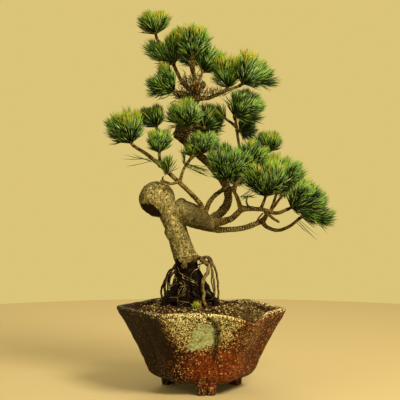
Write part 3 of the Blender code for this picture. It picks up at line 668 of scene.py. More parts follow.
# %% Leader
LEADER = ("leader_lower", "leader_middle", "leader_upper")
KNOTS = (((-27, -4, 303), (7, 6, 6)), ((-17, -3, 314), (7.5, 6.5, 8)), ((-22, 5, 316), (6, 6, 7)),
         ((30, 0, 238), (6.5, 6, 5.5)), ((2, 1, 275), (5.4, 5, 4.6)), ((-6, 0, 349), (5.2, 5, 6)),
         ((-12, 0, 338), (5, 4.6, 5)), ((16, 2, 260), (5.3, 5, 4.4)))
leader_lines = [paths[name] for name in LEADER]
skins = [tube(*line, 18) for line in leader_lines] + [ball(*knot, 10, 14) for knot in KNOTS]
points, normals, faces = grown_together("leader", skins, voxel=0.7, rounds=3)
along = nearest_line(points, leader_lines)[1]
rings = scar_rings(along, 2.8, noise(points, 4, 18))
relief = np.maximum(0.8 * plates(points, 2.4, 51), 0.75 * rings)
lift = 0.8 * noise(points, 7, 12) + 0.5 * noise(points, 3, 13) + 0.8 * (relief - 0.5)
points = points + normals * lift[:, None]
relief_piece("dark_leader", [((points, faces), relief)], [dark_bark], LEADER)

# %% [markdown]
# ## Young boughs
#
# The slim boughs are tubes whose radius swells at the foot, where they leave the limb that carries
# them, and rises and falls with the rings of old needle scars, about 2.5 mm apart.

# %% Young bough tubes
def barked_tube(centres, radii, sides, seed, spacing=2.5, collar=0.5, depth=0.16):
    """A tube whose radius is times 1 + collar at the foot, fading in three radii, and times rings
    of this depth and bumps. Returned with the relief of each point."""
    along = travelled(centres)
    swollen = radii * (1 + collar * np.exp(-along / (2.2 * radii[0])))
    grid, out = rings_along(centres, swollen, sides)
    ring = scar_rings(along[:, None], spacing, noise(grid, 4, seed))
    bumps = noise(grid, 3.2, seed + 1)
    relief = np.clip(0.42 + 0.35 * bumps + 4 * depth * (ring - 0.5), 0, 1)
    grid = grid + out * (swollen[:, None] * (depth * (ring - 0.5) + 0.13 * bumps))[..., None]
    return domed(grid, centres, radii, 0.6), np.concatenate([relief.ravel(), [0.5, 0.5]])


young = [name for name in LIMBS if name not in ("main_bough", "low_bough", *LEADER)]
tubes = [barked_tube(*paths[name], 14, 60 + i) for i, name in enumerate(young)]
relief_piece("young_boughs", tubes, [young_bark], young)

# %% [markdown]
# ## The rule of the tufts
#
# A tuft of white pine is a few short shoots that fan from one place, set all round with bundles
# of five needles. Low on the shoot the bundles stand straight out, and towards its tip they close
# up like a shaving brush. The rule is the source's. Each mass has its limb and how far along it
# starts, its base, its lean to the right and to the back, its shoots' and needles' length, its
# number of shoots, whether it is dense, and how much sun it gets.

# %% The masses
Mass = collections.namedtuple("Mass", "limb along base lean length needle shoots dense sunny")
MASSES = {name: Mass(*row) for name, *row in (
    ("top_left", "top_left_bough", 1.0, (-55, 6, 424), (-4, -6), 9, 22, 2, True, 0.5),
    ("top_inner", "top_left_bough", 0.48, (-33, 12, 388), (-19, 12), 21, 24, 3, True, 0.4),
    ("apex", "apex_stem", 1.0, (-10, -4, 394), (-2, -8), 21, 23, 3, True, 0.5),
    ("top_right", "leader_upper", 0.9, (1, 8, 378), (30, 10), 15, 23, 2, True, 0.2),
    ("upper_left", "leader_upper", 0.8, (-32, -8, 354), (-50, -16), 17, 22, 2, True, 0.3),
    ("upper_right_inner", "top_right_bough", 0.55, (31, 4, 359), (2, 14), 21, 23, 3, True, 0.6),
    ("upper_right", "top_right_bough", 1.0, (48, -6, 363), (47, -10), 20, 24, 3, True, 0.45),
    ("right_shoulder", "right_riser", 1.0, (39, 8, 325), (47, -4), 19, 24, 4, True, 0.2),
    ("behind_shoulder", "right_riser", 0.82, (47, 28, 309), (60, 40), 7, 20, 2, True, 0.12),
    ("inside_shoulder", "right_riser", 0.88, (30, 10, 322), (-34, 4), 6, 20, 1, False, 0.12),
    ("middle", "leader_upper", 0.3, (-18, -16, 311), (-6, -22), 14, 23, 3, True, 0.35),
    ("middle_back", "leader_upper", 0.32, (3, 16, 311), (38, 18), 11, 22, 2, True, 0.12),
    ("far_left", "left_bough", 1.0, (-83, -12, 292), (-19, -6), 19, 24, 4, True, 0.45),
    ("left_high", "left_riser", 1.0, (-54, 6, 312), (-20, 10), 10, 20, 2, True, 0.3),
    ("left_low", "left_bough", 0.68, (-50, -19, 281), (2, -16), 11, 19, 2, True, 0.3),
    ("left_sprig", "left_bough", 0.52, (-40, -22, 260), (4, -14), 5, 17, 1, False, 0.12),
    ("fork_sprig", "fork_twig", 0.55, (-12, -16, 276), (-18, -30), 3, 17, 1, False, 0.12),
    ("centre_high", "leader_middle", 0.52, (1, -12, 280), (8, -24), 9, 21, 2, True, 0.12),
    ("centre", "leader_middle", 0.1, (31, -10, 248), (-6, -18), 24, 24, 3, True, 0.02),
    ("centre_right", "right_riser", 0.2, (55, 6, 263), (30, -2), 15, 22, 2, True, 0.12),
    ("right_high", "right_riser", 0.35, (84, 27, 283), (-2, 22), 7, 21, 2, True, 0.3),
    ("right", "middle_bough_right", 0.4, (75, -28, 229), (4, -16), 25, 24, 3, True, 0.3),
    ("right_back", "back_bough_right", 0.45, (92, 8, 238), (18, -4), 22, 24, 3, True, 0.35),
    ("far_right", "middle_bough_right", 1.0, (105, -23, 216), (54, -10), 21, 24, 3, True, 0.35),
    ("far_right_low", "low_bough_right", 1.0, (120, 2, 204), (62, 6), 18, 24, 3, True, 0.4),
    ("back_low", "back_bough_low", 1.0, (42, 55, 242), (8, 34), 16, 24, 3, True, 0.12),
    ("back_middle", "back_bough_middle", 1.0, (4, 53, 298), (0, 36), 15, 23, 3, True, 0.12),
    ("back_top", "back_bough_top", 1.0, (-14, 44, 393), (-4, 40), 13, 22, 3, True, 0.4),
    ("back_right", "back_bough_right", 1.0, (101, 44, 231), (16, 38), 14, 23, 3, True, 0.3),
)}
GOLDEN_ANGLE = math.radians(137.5)
print("masses:", len(MASSES))

# %% Shoots of a mass
def lean_direction(lean):
    """Straight up, turned back by the second angle and then right by the first."""
    right, back = np.radians(lean)
    return np.array((math.sin(right) * math.cos(back), math.sin(back), math.cos(right) * math.cos(back)))


def square_to(way):
    """Two directions square to this one and to each other."""
    side = unit(np.cross(way, (0, 1, 0.2)))
    return side, np.cross(way, side)


def shoots_of(mass):
    """Feet and tips of the shoots: one along the axis, or a ring of them opened by 16 + 4n degrees."""
    base, axis = np.array(mass.base, float), lean_direction(mass.lean)
    if mass.shoots == 1:
        return [(base, base + mass.length * axis)]
    fan = math.radians(16 + 4 * mass.shoots)
    turns = 2 * np.pi * np.arange(mass.shoots) / mass.shoots + 0.4
    outs = round_line(turns[:, None], *square_to(axis))
    ways = unit(math.cos(fan) * axis + math.sin(fan) * outs)
    return [(base, base + (mass.length + 2) * way) for way in ways]


def point_along(path, share):
    """The point that far along a line, where 1 is its end."""
    reached = travelled(path[0])
    return np.array([np.interp(share * reached[-1], reached, path[0][:, k]) for k in range(3)])


print("shoots:", sum(len(shoots_of(mass)) for mass in MASSES.values()))

# %% [markdown]
# ## Twigs
#
# In the source each shoot is one straight twig. Here each puts out side twigs in turn, a golden
# angle apart, that stay within the tuft, so that the needles have something to stand on wherever
# the eye gets in between them.

# %% Twigs
DENSE_SIDE_TWIGS, SPARSE_SIDE_TWIGS = 3, 1


def side_count(mass):
    """How many side twigs each shoot puts out."""
    return DENSE_SIDE_TWIGS if mass.dense else SPARSE_SIDE_TWIGS


def side_twigs(foot, tip, count, chance):
    """Twigs off a shoot: from 30 to 80 % along it, opened by 34 degrees, half as long as the shoot."""
    way = unit(tip - foot)
    side, front = square_to(way)
    length = np.linalg.norm(tip - foot)
    found = []
    for i in range(count):
        turn = GOLDEN_ANGLE * i + chance.uniform(0, 6.28)
        out = math.cos(turn) * side + math.sin(turn) * front
        start = foot + (0.3 + 0.5 * i / count) * (tip - foot)
        reach = length * chance.uniform(0.42, 0.58)
        found.append((start, start + reach * unit(0.83 * way + 0.56 * out)))
    return found


def bent_line(start, end, sag, chance, step=2.0):
    """A line from start to end, bowed sideways by a half wave of up to `sag` of its length."""
    count = max(4, round(float(np.linalg.norm(end - start)) / step))
    t = np.linspace(0, 1, count)[:, None]
    bow = chance.normal(0, sag, 3) * np.linalg.norm(end - start)
    return start + t * (end - start) + np.sin(np.pi * t) * bow


chance = np.random.default_rng(7)
tubes = []
twigs = {name: [] for name in MASSES}
for number, (name, mass) in enumerate(MASSES.items()):
    foot = point_along(paths[mass.limb], mass.along)
    lines = [(bent_line(foot, np.array(mass.base, float), 0.03, chance), 2.0, 1.6)]
    for start, tip in shoots_of(mass):
        lines.append((bent_line(start, tip, 0.03, chance), 1.5, 0.9))
        twigs[name].append((start, tip))
        for ends in side_twigs(start, tip, side_count(mass), chance):
            lines.append((bent_line(*ends, 0.05, chance), 0.95, 0.6))
            twigs[name].append(ends)
    for k, (line, thick, thin) in enumerate(lines):
        radii = np.linspace(thick, thin, len(line))
        tubes.append(barked_tube(line, radii, 7, 200 + 10 * number + k, spacing=1.8, collar=0.25))
relief_piece("twigs", tubes, [young_bark])

# %% [markdown]
# ## Needles
#
# A needle is about 24 mm long and three-sided, because five of them fill a round bundle. Its outer side is
# green, and an inner side carries a pale waxy band, which is pale more often on lit needles as a painted
# highlight. Each is one thin closed mesh of ten faces, gently bent upwards. A real one is under a millimetre
# thick. These are about one, so that the crown closes with some tens of thousands. Their tints have a place
# on the tree and also stand for light: deep blue-green as painted shade inside and low in a tuft, fresh green
# as painted light outside and high, lime and gold at the tips of the sunny tufts. Each is a plain colour, and
# gold is dealt out bundle by bundle.

# %% Needle finishes
NEEDLE_TINTS = {
    "deep": "#0a1406", "shade": "#172b0c", "blue": "#1b361d", "green": "#3d6518", "fresh": "#678d20",
    "dim": "#3c541e", "pale": "#9fb263", "lime": "#7e8b1d", "gold": "#998b1c", "straw": "#7c5c28",
    "rust": "#402914",
}
needle_finishes = [Look(f"needle wax {tint}", 0.42, 0.3).dress(Base_Color=code)
                   for tint, code in NEEDLE_TINTS.items()]
TINT = {tint: i for i, tint in enumerate(NEEDLE_TINTS)}
print("needle tints:", ", ".join(NEEDLE_TINTS))

# %% [markdown]
# The bundles of one twig follow the brush rule, and the five needles of a bundle open a few
# degrees from its direction. A needle is dropped where it would run deep into the next tuft or
# through a limb, which leaves the tufts apart and keeps the sky between them open.

# %% Bundles and needles
IN_BUNDLE = 5
NEEDLE_RINGS = ((0.0, 0.8), (0.62, 1.0))  # how far along, and how wide
SIDE_OF_FACE = np.array((0, 0, 1, 2, 0, 1, 2, 0, 1, 2))
WAXY_SIDE, TIP_FACES = 2, slice(7, None)


def brush(start, tip, axis, count, chance):
    """Roots and directions of the bundles on a twig: opened by 56 - 43 s^0.85 degrees at share s,
    turned a golden angle each, and drawn a little towards the tuft's axis."""
    way = unit(tip - start)
    share = (np.arange(count) + chance.uniform(0.2, 0.8, count)) / count
    opening = np.radians(56 - 43 * share**0.85 + chance.uniform(-9, 9, count))[:, None]
    turn = (GOLDEN_ANGLE * np.arange(count) + chance.uniform(-0.3, 0.3, count))[:, None]
    out = round_line(turn, *square_to(way))
    ways = unit(np.cos(opening) * way + np.sin(opening) * out + 0.12 * axis)
    return start + (0.02 + 0.98 * share[:, None]) * (tip - start), ways, share


def turned(ways, guide, steps, chance):
    """Directions square to each way, at even steps round it from a random start."""
    side = unit(np.cross(ways, guide))
    front = np.cross(ways, side)
    turn = (2 * np.pi * np.arange(steps) / steps)[None] + chance.uniform(0, 6.28, (len(ways), 1))
    return round_line(turn[..., None], side[:, None], front[:, None])


def five_needles(roots, ways, share, chance):
    """Five directions round each bundle's own, 72 degrees apart and opened by 4 to 15 degrees."""
    out = turned(ways, (0.1, 1, 0.25), IN_BUNDLE, chance)
    opening = np.tan(np.radians(chance.uniform(4, 15, (len(ways), IN_BUNDLE))))[..., None]
    found = unit(ways[:, None] + opening * out)
    return np.repeat(roots, IN_BUNDLE, axis=0), found.reshape(-1, 3), np.repeat(share, IN_BUNDLE)


def needle_skins(roots, ways, lengths, axis, width, bend, chance):
    """Each needle: two triangular rings and a point at its tip. Its line is root + length (t way
    + bend t^2 across), where across is the part square to the needle of a direction between the
    tuft's axis and straight up. Ten faces a needle: its end, a wall and its tip."""
    count = len(roots)
    lift = unit(0.5 * axis + (0, 0, 0.7))
    across = lift - (ways @ lift)[:, None] * ways
    across = across * bend[:, None] + chance.normal(0, 0.02, (count, 3))
    out = turned(ways, (0.3, 0.2, 1), 3, chance)
    rings = []
    for t, share in NEEDLE_RINGS:
        middle = roots + lengths[:, None] * (t * ways + t * t * across)
        rings.append(middle[:, None] + share * width[:, None, None] * out)
    tip = (roots + lengths[:, None] * (ways + across))[:, None]
    points = np.concatenate([*rings, tip], axis=1).reshape(-1, 3)
    a, b = np.array((0, 1, 2)), np.array((1, 2, 0))
    walls = ((a, b, b + 3), (a, b + 3, a + 3), (a + 3, b + 3, a * 0 + 6))
    one = np.vstack([[[0, 2, 1]], *(np.stack(corners, -1) for corners in walls)])
    return points, (one[None] + 7 * np.arange(count)[:, None, None]).reshape(-1, 3)


print("faces of one needle:", len(SIDE_OF_FACE))

# %% Which space a tuft may fill
SPOTS_ON_SHOOT = 10
TRESPASS_AT_MIDDLE, TRESPASS_AT_END, LIMB_MARGIN = 5, 9, 0.4
all_shoots = [(number, *ends) for number, mass in enumerate(MASSES.values()) for ends in shoots_of(mass)]
steps = np.linspace(0, 1, SPOTS_ON_SHOOT)[:, None]
shoot_spots = np.vstack([start + steps * (tip - start) for _, start, tip in all_shoots])
shoot_owners = np.repeat([number for number, _, _ in all_shoots], SPOTS_ON_SHOOT)
limb_spots = np.vstack([centres[::2] for centres, _ in paths.values()])
limb_reach = np.concatenate([radii[::2] for _, radii in paths.values()])


def has_room(number, points, trespass):
    """True where a point is at most `trespass` millimetres nearer to another tuft's shoots."""
    away = distances(points, shoot_spots)
    mine = away[:, shoot_owners == number].min(axis=1)
    others = away[:, shoot_owners != number].min(axis=1)
    return others - mine > -trespass


def off_limbs(points, margin):
    """True where a point is outside every limb by the margin."""
    return (distances(points, limb_spots) - limb_reach).min(axis=1) > margin


print("spots on shoots:", len(shoot_spots), "and on limbs:", len(limb_spots))

# %% [markdown]
# The sunny tufts at the top and the outside carry gold on the tips of many bundles, which the shaded ones
# hardly do. Each bundle is dealt its tints by how much sun its mass gets, and each needle's body is painted
# lighter or darker with it, as painted light and shade.

# %% Grow the needles
SHADED_NEEDLE_TINTS = ("deep", "deep", "deep", "shade", "shade", "blue")
LIT_NEEDLE_TINTS = (*SHADED_NEEDLE_TINTS, "green", "green", "green", "fresh", "fresh", "pale")
GOLDEN = ("lime", "lime", "fresh", "gold", "gold")
SPARSE = ("green", "dim", "lime", "dim")
DENSE_BUNDLES, SPARSE_BUNDLES = (98, 14), (9, 3)  # on a shoot, and on each of its side twigs
OUTWARD = 0.9  # 0 leaves a needle as its bundle points, and more turns it away from the foot
THINNEST, THICKEST = 0.42, 0.56  # radius in mm


def drawn(names, count, chance):
    """A tint's number for each needle, drawn from these names."""
    return np.array([TINT[name] for name in names])[chance.integers(0, len(names), count)]


def deal_tints(share, rise, sunny, chance):
    """Tints for each needle's body, waxy band and tip: deeper low and inside the tuft and in shaded masses as
    painted shade, and lighter and more often pale-banded where lit, as painted light. Whole bundles are
    golden at the tips with a chance that grows with how high in the tuft they end."""
    count = len(share)
    # Painted light and shade: needles high, outward and in sunny masses get the lit tints, the rest the deep
    # shaded ones.
    lit = np.clip(0.35 * share + 0.55 * rise + 0.4 * sunny, 0, 1)
    body = np.where(chance.random(count) < lit, drawn(LIT_NEEDLE_TINTS, count, chance), drawn(SHADED_NEEDLE_TINTS, count, chance))
    band = np.where(chance.random(count) < 0.08 + 0.32 * lit, TINT["pale"], TINT["dim"])
    bundles = count // IN_BUNDLE
    golden = np.repeat(chance.random(bundles), IN_BUNDLE) < 1.7 * sunny * np.clip(3 * rise - 1.7, 0, 1)
    gold = np.repeat(drawn(GOLDEN, bundles, chance), IN_BUNDLE)
    tips = np.where(chance.random(count) < 0.3, TINT["fresh"], body)
    return np.stack([body, band, np.where(golden, gold, tips)])


def tuft(name, chance):
    """All needles of one mass, with the tint number of each face. Each is turned nearly half way
    to the direction away from the tuft's foot, so that the lines of a tuft run out like rays."""
    number, mass = list(MASSES).index(name), MASSES[name]
    axis = lean_direction(mass.lean)
    bundles = DENSE_BUNDLES if mass.dense else SPARSE_BUNDLES
    found = []
    for k, (start, tip) in enumerate(twigs[name]):
        count = bundles[k % (1 + side_count(mass)) > 0]
        found.append(five_needles(*brush(start, tip, axis, count, chance), chance))
    roots, ways, share = (np.concatenate(part) for part in zip(*found))
    lengths = mass.needle * chance.uniform(0.82, 1.05, len(roots))
    long = lengths[:, None]
    from_foot = unit(roots + 0.5 * long * ways - (np.array(mass.base) - 4 * axis))
    ways = unit(ways + OUTWARD * from_foot)
    middle, end = roots + 0.6 * long * ways, roots + long * ways
    rise = (end[:, 2] - mass.base[2]) / (mass.length + mass.needle)
    tints = deal_tints(share, rise, mass.sunny, chance)
    if not mass.dense:
        tints = np.tile(drawn(SPARSE, len(roots), chance), (3, 1))
    keep = has_room(number, middle, TRESPASS_AT_MIDDLE) & has_room(number, end, TRESPASS_AT_END)
    keep &= off_limbs(middle, LIMB_MARGIN) & off_limbs(end, LIMB_MARGIN)
    return dressed_needles(roots[keep], ways[keep], lengths[keep], axis, tints[:, keep], chance)


def dressed_needles(roots, ways, lengths, axis, tints, chance, most_bend=0.22):
    """Needles with the tint of each face: the waxy band on one side, the tip's tint on the tip."""
    body, band, tips = tints
    bend = chance.uniform(0.1, 1.0, len(roots)) * most_bend
    width = chance.uniform(THINNEST, THICKEST, len(roots))
    skin = needle_skins(roots, ways, lengths, axis, width, bend, chance)
    kinds = np.where(SIDE_OF_FACE[None] == WAXY_SIDE, band[:, None], body[:, None])
    kinds[:, TIP_FACES] = tips[:, None]
    return skin, kinds.ravel()


def needle_piece(name, grown, stands_for=()):
    """Needles with their faces' tints, joined as one piece."""
    skins, kinds = zip(*grown)
    mesh = mesh_of(name, *joined(skins), np.concatenate(kinds))
    piece(name, mesh, needle_finishes, stands_for)


GROUPS = {
    "needles_top": ("top_left", "top_inner", "apex", "top_right", "upper_left", "back_top"),
    "needles_shoulder": ("upper_right_inner", "upper_right", "right_shoulder", "behind_shoulder",
                         "inside_shoulder", "middle", "middle_back", "back_middle"),
    "needles_low_left": ("far_left", "left_high", "left_low", "left_sprig", "fork_sprig",
                         "centre_high", "centre", "centre_right"),
    "needles_low_right": ("right_high", "right", "right_back", "far_right", "far_right_low",
                          "back_low", "back_right"),
}
for group, names in GROUPS.items():
    grown = [tuft(name, np.random.default_rng(300 + list(MASSES).index(name))) for name in names]
    needle_piece(group, grown, ["needles_" + name for name in names])

# %% [markdown]
# ## The bowl
#
# The bowl is built by hand from coarse clay: six rounded corners, a rim that rises and dips, walls
# with finger marks, and creases where the clay was pressed. The outline is the source's rule, on
# a much finer grid, with the marks of the hand laid over it.

# %% Bowl rule
BOWL_OUTSIDE = ((50, 13), (62, 19.5), (70, 36), (78.5, 54), (90, 75), (99.5, 92))
BOWL_LIP = ((101.5, 95), (100.5, 97.4), (97, 98), (94, 96.5))
BOWL_INSIDE = ((92, 92), (88.5, 86), (79, 66), (67, 42))
RIM_WAVES = ((-49, -12, 10), (78, -5, 15), (2, -3, 20), (-100, 2, 18))
SHARPNESS = 20
SOFT_SHARPNESS = 8


def rounded(angle, power):
    """Radius of a hexagon one wide: (sum over three sides of |cos|^power)^(-1/power)."""
    return sum(np.abs(np.cos(angle - math.radians(30 + 60 * k))) ** power for k in range(3)) ** (-1 / power)


def hexagon(angle, softness=0.0):
    """1 at the corners. Softness 1 leaves the sides where they are and rounds the corners more."""
    corner = rounded(np.array(0.0), SHARPNESS)
    soft = rounded(angle, SOFT_SHARPNESS) / rounded(np.array(np.pi / 6), SOFT_SHARPNESS)
    return ((1 - softness) * rounded(angle, SHARPNESS) + softness * soft) / corner


def wave(angle, level):
    """The rim's rise and fall: a bell curve round each wave's middle, fading out down the wall."""
    share = np.clip((level - 40) / 58, 0, 1)
    total = 0
    for middle, rise, spread in RIM_WAVES:
        away = (np.degrees(angle) - middle + 180) % 360 - 180
        total = total + rise * np.exp(-((away / spread) ** 2) / 2)
    return total * share


def resampled(corners, count):
    """The profile's corners joined by a smooth line, at even steps."""
    line, _ = smooth_path([(r, 0, z) for r, z in corners], np.ones(len(corners)), 0.8)
    reached = travelled(line)
    even = np.linspace(0, reached[-1], count)
    return np.interp(even, reached, line[:, 0]), np.interp(even, reached, line[:, 2])


print("hexagon's radius at a side:", round(float(hexagon(np.array(math.pi / 6))), 3))

# %% [markdown]
# A crease is a groove that runs down the wall along a line of its own angle. The deepest is right
# of the middle of the front, beside the green patch, and shallower ones mark the other panels.

# %% Bowl surface
CREASES = (
    (2.8, 2.8, ((34, -77), (81, -79.5), (88, -82), (96, -87))), (2.6, 8.0, ((36, -119), (94, -129))),
    (1.2, 5.0, ((40, -54), (84, -58))), (1.3, 4.5, ((28, -146), (80, -140))),
    (1.2, 5.0, ((30, -24), (84, -20))), (1.4, 5.0, ((30, 46), (88, 40))),
    (1.6, 4.0, ((34, 90), (90, 95))), (1.3, 5.0, ((30, 156), (86, 150))),
)  # depth in mm, spread in degrees, and the line's levels with its angles
BOWL_SOLE, FLOOR_LEVEL = (30, 13.2), (66, 41)
ROLL_LEVEL, ROLL_HEIGHT = 88, 0.8


def to_half_turn(degrees):
    """The same angles from -180 to 180."""
    return (degrees + 180) % 360 - 180


def bowl_points(sides, count):
    """Ring points: radius times hexagon, at the level plus the wave, pushed outwards by the clay's
    swellings, finger marks, grit and the roll under the lip, and pulled in by the creases. Also how
    hollow each point is, and 1 where it is on the inner wall."""
    radius, level = resampled((BOWL_SOLE, *BOWL_OUTSIDE, *BOWL_LIP, *BOWL_INSIDE, FLOOR_LEVEL), count)
    angle = full_turn(sides)[None]
    inside = np.where(np.arange(count) > level.argmax(), np.clip((98 - level) / 12, 0, 1), 0)[:, None]
    radius, level = radius[:, None], level[:, None]
    grid = upright(radius * hexagon(angle, inside), angle, level + wave(angle, level))
    hollow = np.zeros((count, sides))
    push = 0.9 * noise(grid, 26, 71) + 0.45 * noise(grid * (1, 1, 1.6), 8, 72)
    push = push + 0.22 * noise(grid, 2.2, 73) + 0.18 * noise(grid, 1.1, 74)
    push = push + ROLL_HEIGHT * (1 - inside) * np.exp(-(((level - ROLL_LEVEL) / 5) ** 2))
    for depth, spread, line in CREASES:
        levels, turns = np.transpose(line)
        wander = 2 * noise(grid * (0, 0, 1), 17, 75)
        away = to_half_turn(np.degrees(angle) - np.interp(level, levels, turns) - wander)
        fade = np.clip((level - levels[0]) / 14, 0, 1) * np.clip((levels[-1] - level) / 10 + 0.5, 0, 1)
        hollow += depth * (1 - inside) * fade * np.exp(-((away / spread) ** 2))
    grid = grid + (push - hollow)[..., None] * upright(1 + 0 * level, angle, 0 * level)
    grid[..., 2] += 0.8 * noise(grid, 15, 76) * np.clip((level - 80) / 15, 0, 1)
    return grid, hollow, inside + 0 * hollow


bowl_grid, *bowl_marks = bowl_points(sides=300, count=130)
bowl_marks = {name: np.append(values, (0, 0)) for name, values in zip(("hollow", "inner"), bowl_marks)}
points, faces = capped(bowl_grid, np.array((0, 0, 13.2)), np.array((0, 0, 40.5)))
print("bowl:", len(points), "points")

# %% [markdown]
# ## Stoneware finish
#
# The body is iron-rich clay, fired dark in reduction and brick red low in the middle. It is painted near
# black on the left and in the corner creases, partly its own firing and partly painted shade, as the light
# comes from the right. Wood ash settled on the rim and the front and ran to a khaki crust full of specks,
# paler along the top of the rim as a painted highlight, and one thick patch melted to a smooth grey-green
# glass. Each zone is a soft shape by place with a ragged edge, and the specks are cells about a millimetre
# wide.

# %% Stoneware
GLASS_PLANES = (((13.6, 0, 75), (-1, 0, 0)), ((-10, 0, 74), (0.95, 0, -0.31)), ((0, 0, 60), (-0.31, 0, 0.95)),
                ((2, 0, 88), (0, 0, -1)), ((11, 0, 85), (-0.8, 0, -0.6)), ((0, -60, 70), (0, -1, 0)))


def zone(look, middle, size, ragged, edge):
    """1 at the middle, falling to 0 on an ellipsoid of these half sizes in mm, its edge ragged."""
    return look.math("SUBTRACT", look.math("MULTIPLY_ADD", ragged, edge, look.near(middle, size)), 0.5 * edge)


def inside_of(look, planes, ragged, edge):
    """How many mm a point is inside planes, each given by a point and its inward way, ragged."""
    least = look.math("MULTIPLY", ragged, edge)
    for spot, way in planes:
        way = PER_METRE * unit(way)
        inputs = {0: look.where, 1: way.tolist()}
        along = look.node("VectorMath", inputs, operation="DOT_PRODUCT").outputs["Value"]
        off = look.math("SUBTRACT", along, float(metres(spot) @ way))
        least = look.math("SMOOTH_MIN", least, look.math("MULTIPLY_ADD", ragged, edge, off), 2.5)
    return least


def stoneware_finish():
    """Dark iron clay with a red belly, painted shade on the left, in the creases and on the inner wall, ash
    crust and a painted highlight along the rim, one glassy patch, and specks.
    """
    look = Look("wood fired stoneware", 0.7, 0.08)
    ragged = look.noise(6.0, 4.0)
    speck = look.node("SeparateColor", {0: look.cells(1.1)["Color"]}).outputs
    place = look.axes(look.where)
    # Near black on the left and redder to the right, partly the clay's firing and partly painted shade on the
    # left; brick red low in the middle.
    across = look.math("MULTIPLY_ADD", look.noise(30.0, 3.0), 0.09, place["X"])
    across = look.ranged(across, -0.03, 0.09, 0.0, 1.0)
    clay = look.ramp(across, (0.0, "#140b06"), (0.4, "#2a130a"), (1.0, "#4f2410"))
    belly = zone(look, (20, -66, 34), (54, 70, 38), ragged, 0.6)
    clay = look.over(clay, look.ranged(belly, 0.1, 0.6, 0.0, 0.9), "#783311")
    # Mottled dark, and rusty where the clay is warm.
    blotchy = look.noise(3.2, 5.0, Roughness=0.65)
    clay = look.over(clay, look.ranged(blotchy, 0.38, 0.56, 0.8, 0.0), "#120a06")
    warm = look.ranged(across, 0.1, 0.5, 0.12, 0.8)
    rusty = look.math("MULTIPLY", look.ranged(blotchy, 0.52, 0.66, 0.0, 1.0), warm)
    clay = look.over(clay, rusty, "#8a481c")
    # Cream and orange grains in the clay, thicker towards the ash, and few on the left, which keeps the
    # painted shade there dark.
    ash = zone(look, (1, -82, 90), (58, 60, 44), ragged, 0.6)
    flank = zone(look, (56, -58, 72), (34, 40, 30), ragged, 0.7)
    dusty = look.math("MAXIMUM", ash, look.math("MULTIPLY", flank, 0.42))
    grains = look.ranged(speck["Red"], look.ranged(dusty, -0.1, 0.34, 0.97, 0.3), 1.0, 0.0, 1.4)
    grains = look.math("MULTIPLY", grains, look.ranged(place["X"], -0.075, -0.045, 0.15, 1.0))
    cream = look.ramp(speck["Green"], (0.25, "#41210d"), (0.6, "#945e28"), (0.85, "#ccb272"))
    clay = look.over(clay, grains, cream)
    # The khaki ash crust, also along the rim's top, where its pale band is partly a painted highlight, and
    # fading on the left as painted shade.
    level = look.math("MULTIPLY_ADD", ragged, 0.020, place["Z"])
    rim_fades_into_left_shade = look.ranged(place["X"], -0.1, -0.04, 0.12, 1.0)
    rim = look.math("MULTIPLY", look.ranged(level, 0.100, 0.107, 0.0, 0.9), rim_fades_into_left_shade)
    crust = look.math("MAXIMUM", look.ranged(ash, 0.14, 0.52, 0.0, 1.25), rim)
    crust = look.ranged(look.math("SUBTRACT", crust, speck["Red"]), 0.0, 0.2, 0.0, 1.0)
    khaki = look.ramp(speck["Blue"], (0.2, "#24180a"), (0.4, "#695d32"), (0.65, "#989054"), (0.88, "#e4dcaa"))
    clay = look.over(clay, crust, khaki)
    # The melted patch.
    patch = look.ranged(inside_of(look, GLASS_PLANES, ragged, 5.0), 1.4, 2.6, 0.0, 0.95)
    glass = look.math("MULTIPLY", patch, look.ranged(speck["Green"], 0.8, 0.9, 1.0, 0.35))
    melt = look.ramp(look.noise(2.2, 3.0), (0.3, "#7c8d62"), (0.5, "#a3b184"), (0.72, "#c3cda8"))
    colour = look.over(clay, glass, melt)
    # The inner wall is bare dark clay, darker still as painted shade under the rim, the creases get painted
    # shade, and kiln dust lies along the bottom edge.
    colour = look.over(colour, look.ranged(look.mark("inner"), 0.2, 0.6, 0.0, 0.8), "#2a170b")
    colour = look.over(colour, look.ranged(look.mark("hollow"), 0.5, 2.0, 0.0, 0.75), "#1a0f08")
    low = look.ranged(level, 0.038, 0.028, 0.0, 0.35)
    dust = look.math("MULTIPLY", look.math("GREATER_THAN", speck["Red"], 0.84), low)
    return look.dress(
        Base_Color=look.over(colour, dust, "#6f6757"),
        Roughness=look.ranged(glass, 0.0, 0.92, 0.6, 0.32),
        Normal=look.bump(0.55, 0.0006, speck["Green"]))


stoneware = stoneware_finish()
bowl_mesh = mesh_of("rough_bowl", points, faces, marks=bowl_marks)
piece("rough_bowl", bowl_mesh, [stoneware], ("bowl",))

# %% [markdown]
# ## Feet
#
# Three stubby feet, each pressed into two lobes like a cloven hoof. A lobe is a stack of rings,
# narrow and rounded at the ground and wider where it goes into the bowl.

# %% Feet
LOBE_LEVELS = np.array((0.0, 0.4, 1.4, 3, 5, 7.5, 10, 13, 16, 18))[:, None]
LOBE_RADII = np.array((4.6, 5.4, 5.9, 6.2, 6.3, 6.6, 7.1, 7.9, 8.6, 8.8))[:, None]
FOOT_ANGLES, FOOT_REACH, LOBE_APART = (-83, 150, 30), 46, 5.2


def lobe(x, y, seed):
    """Rings from the ground up, 4.6 mm wide at the ground and 8.8 mm inside the bowl, with dents."""
    turn = full_turn(28)
    grid = upright(LOBE_RADII, turn, LOBE_LEVELS) + (x, y, 0)
    dents = 0.5 * noise(grid, 5, seed) + 0.15 * noise(grid, 1.5, seed + 1)
    grid = grid + dents[..., None] * upright(1.0, turn, 0.0)
    return capped(grid, np.array((x, y, 0.0)), np.array((x, y, 18.5)))


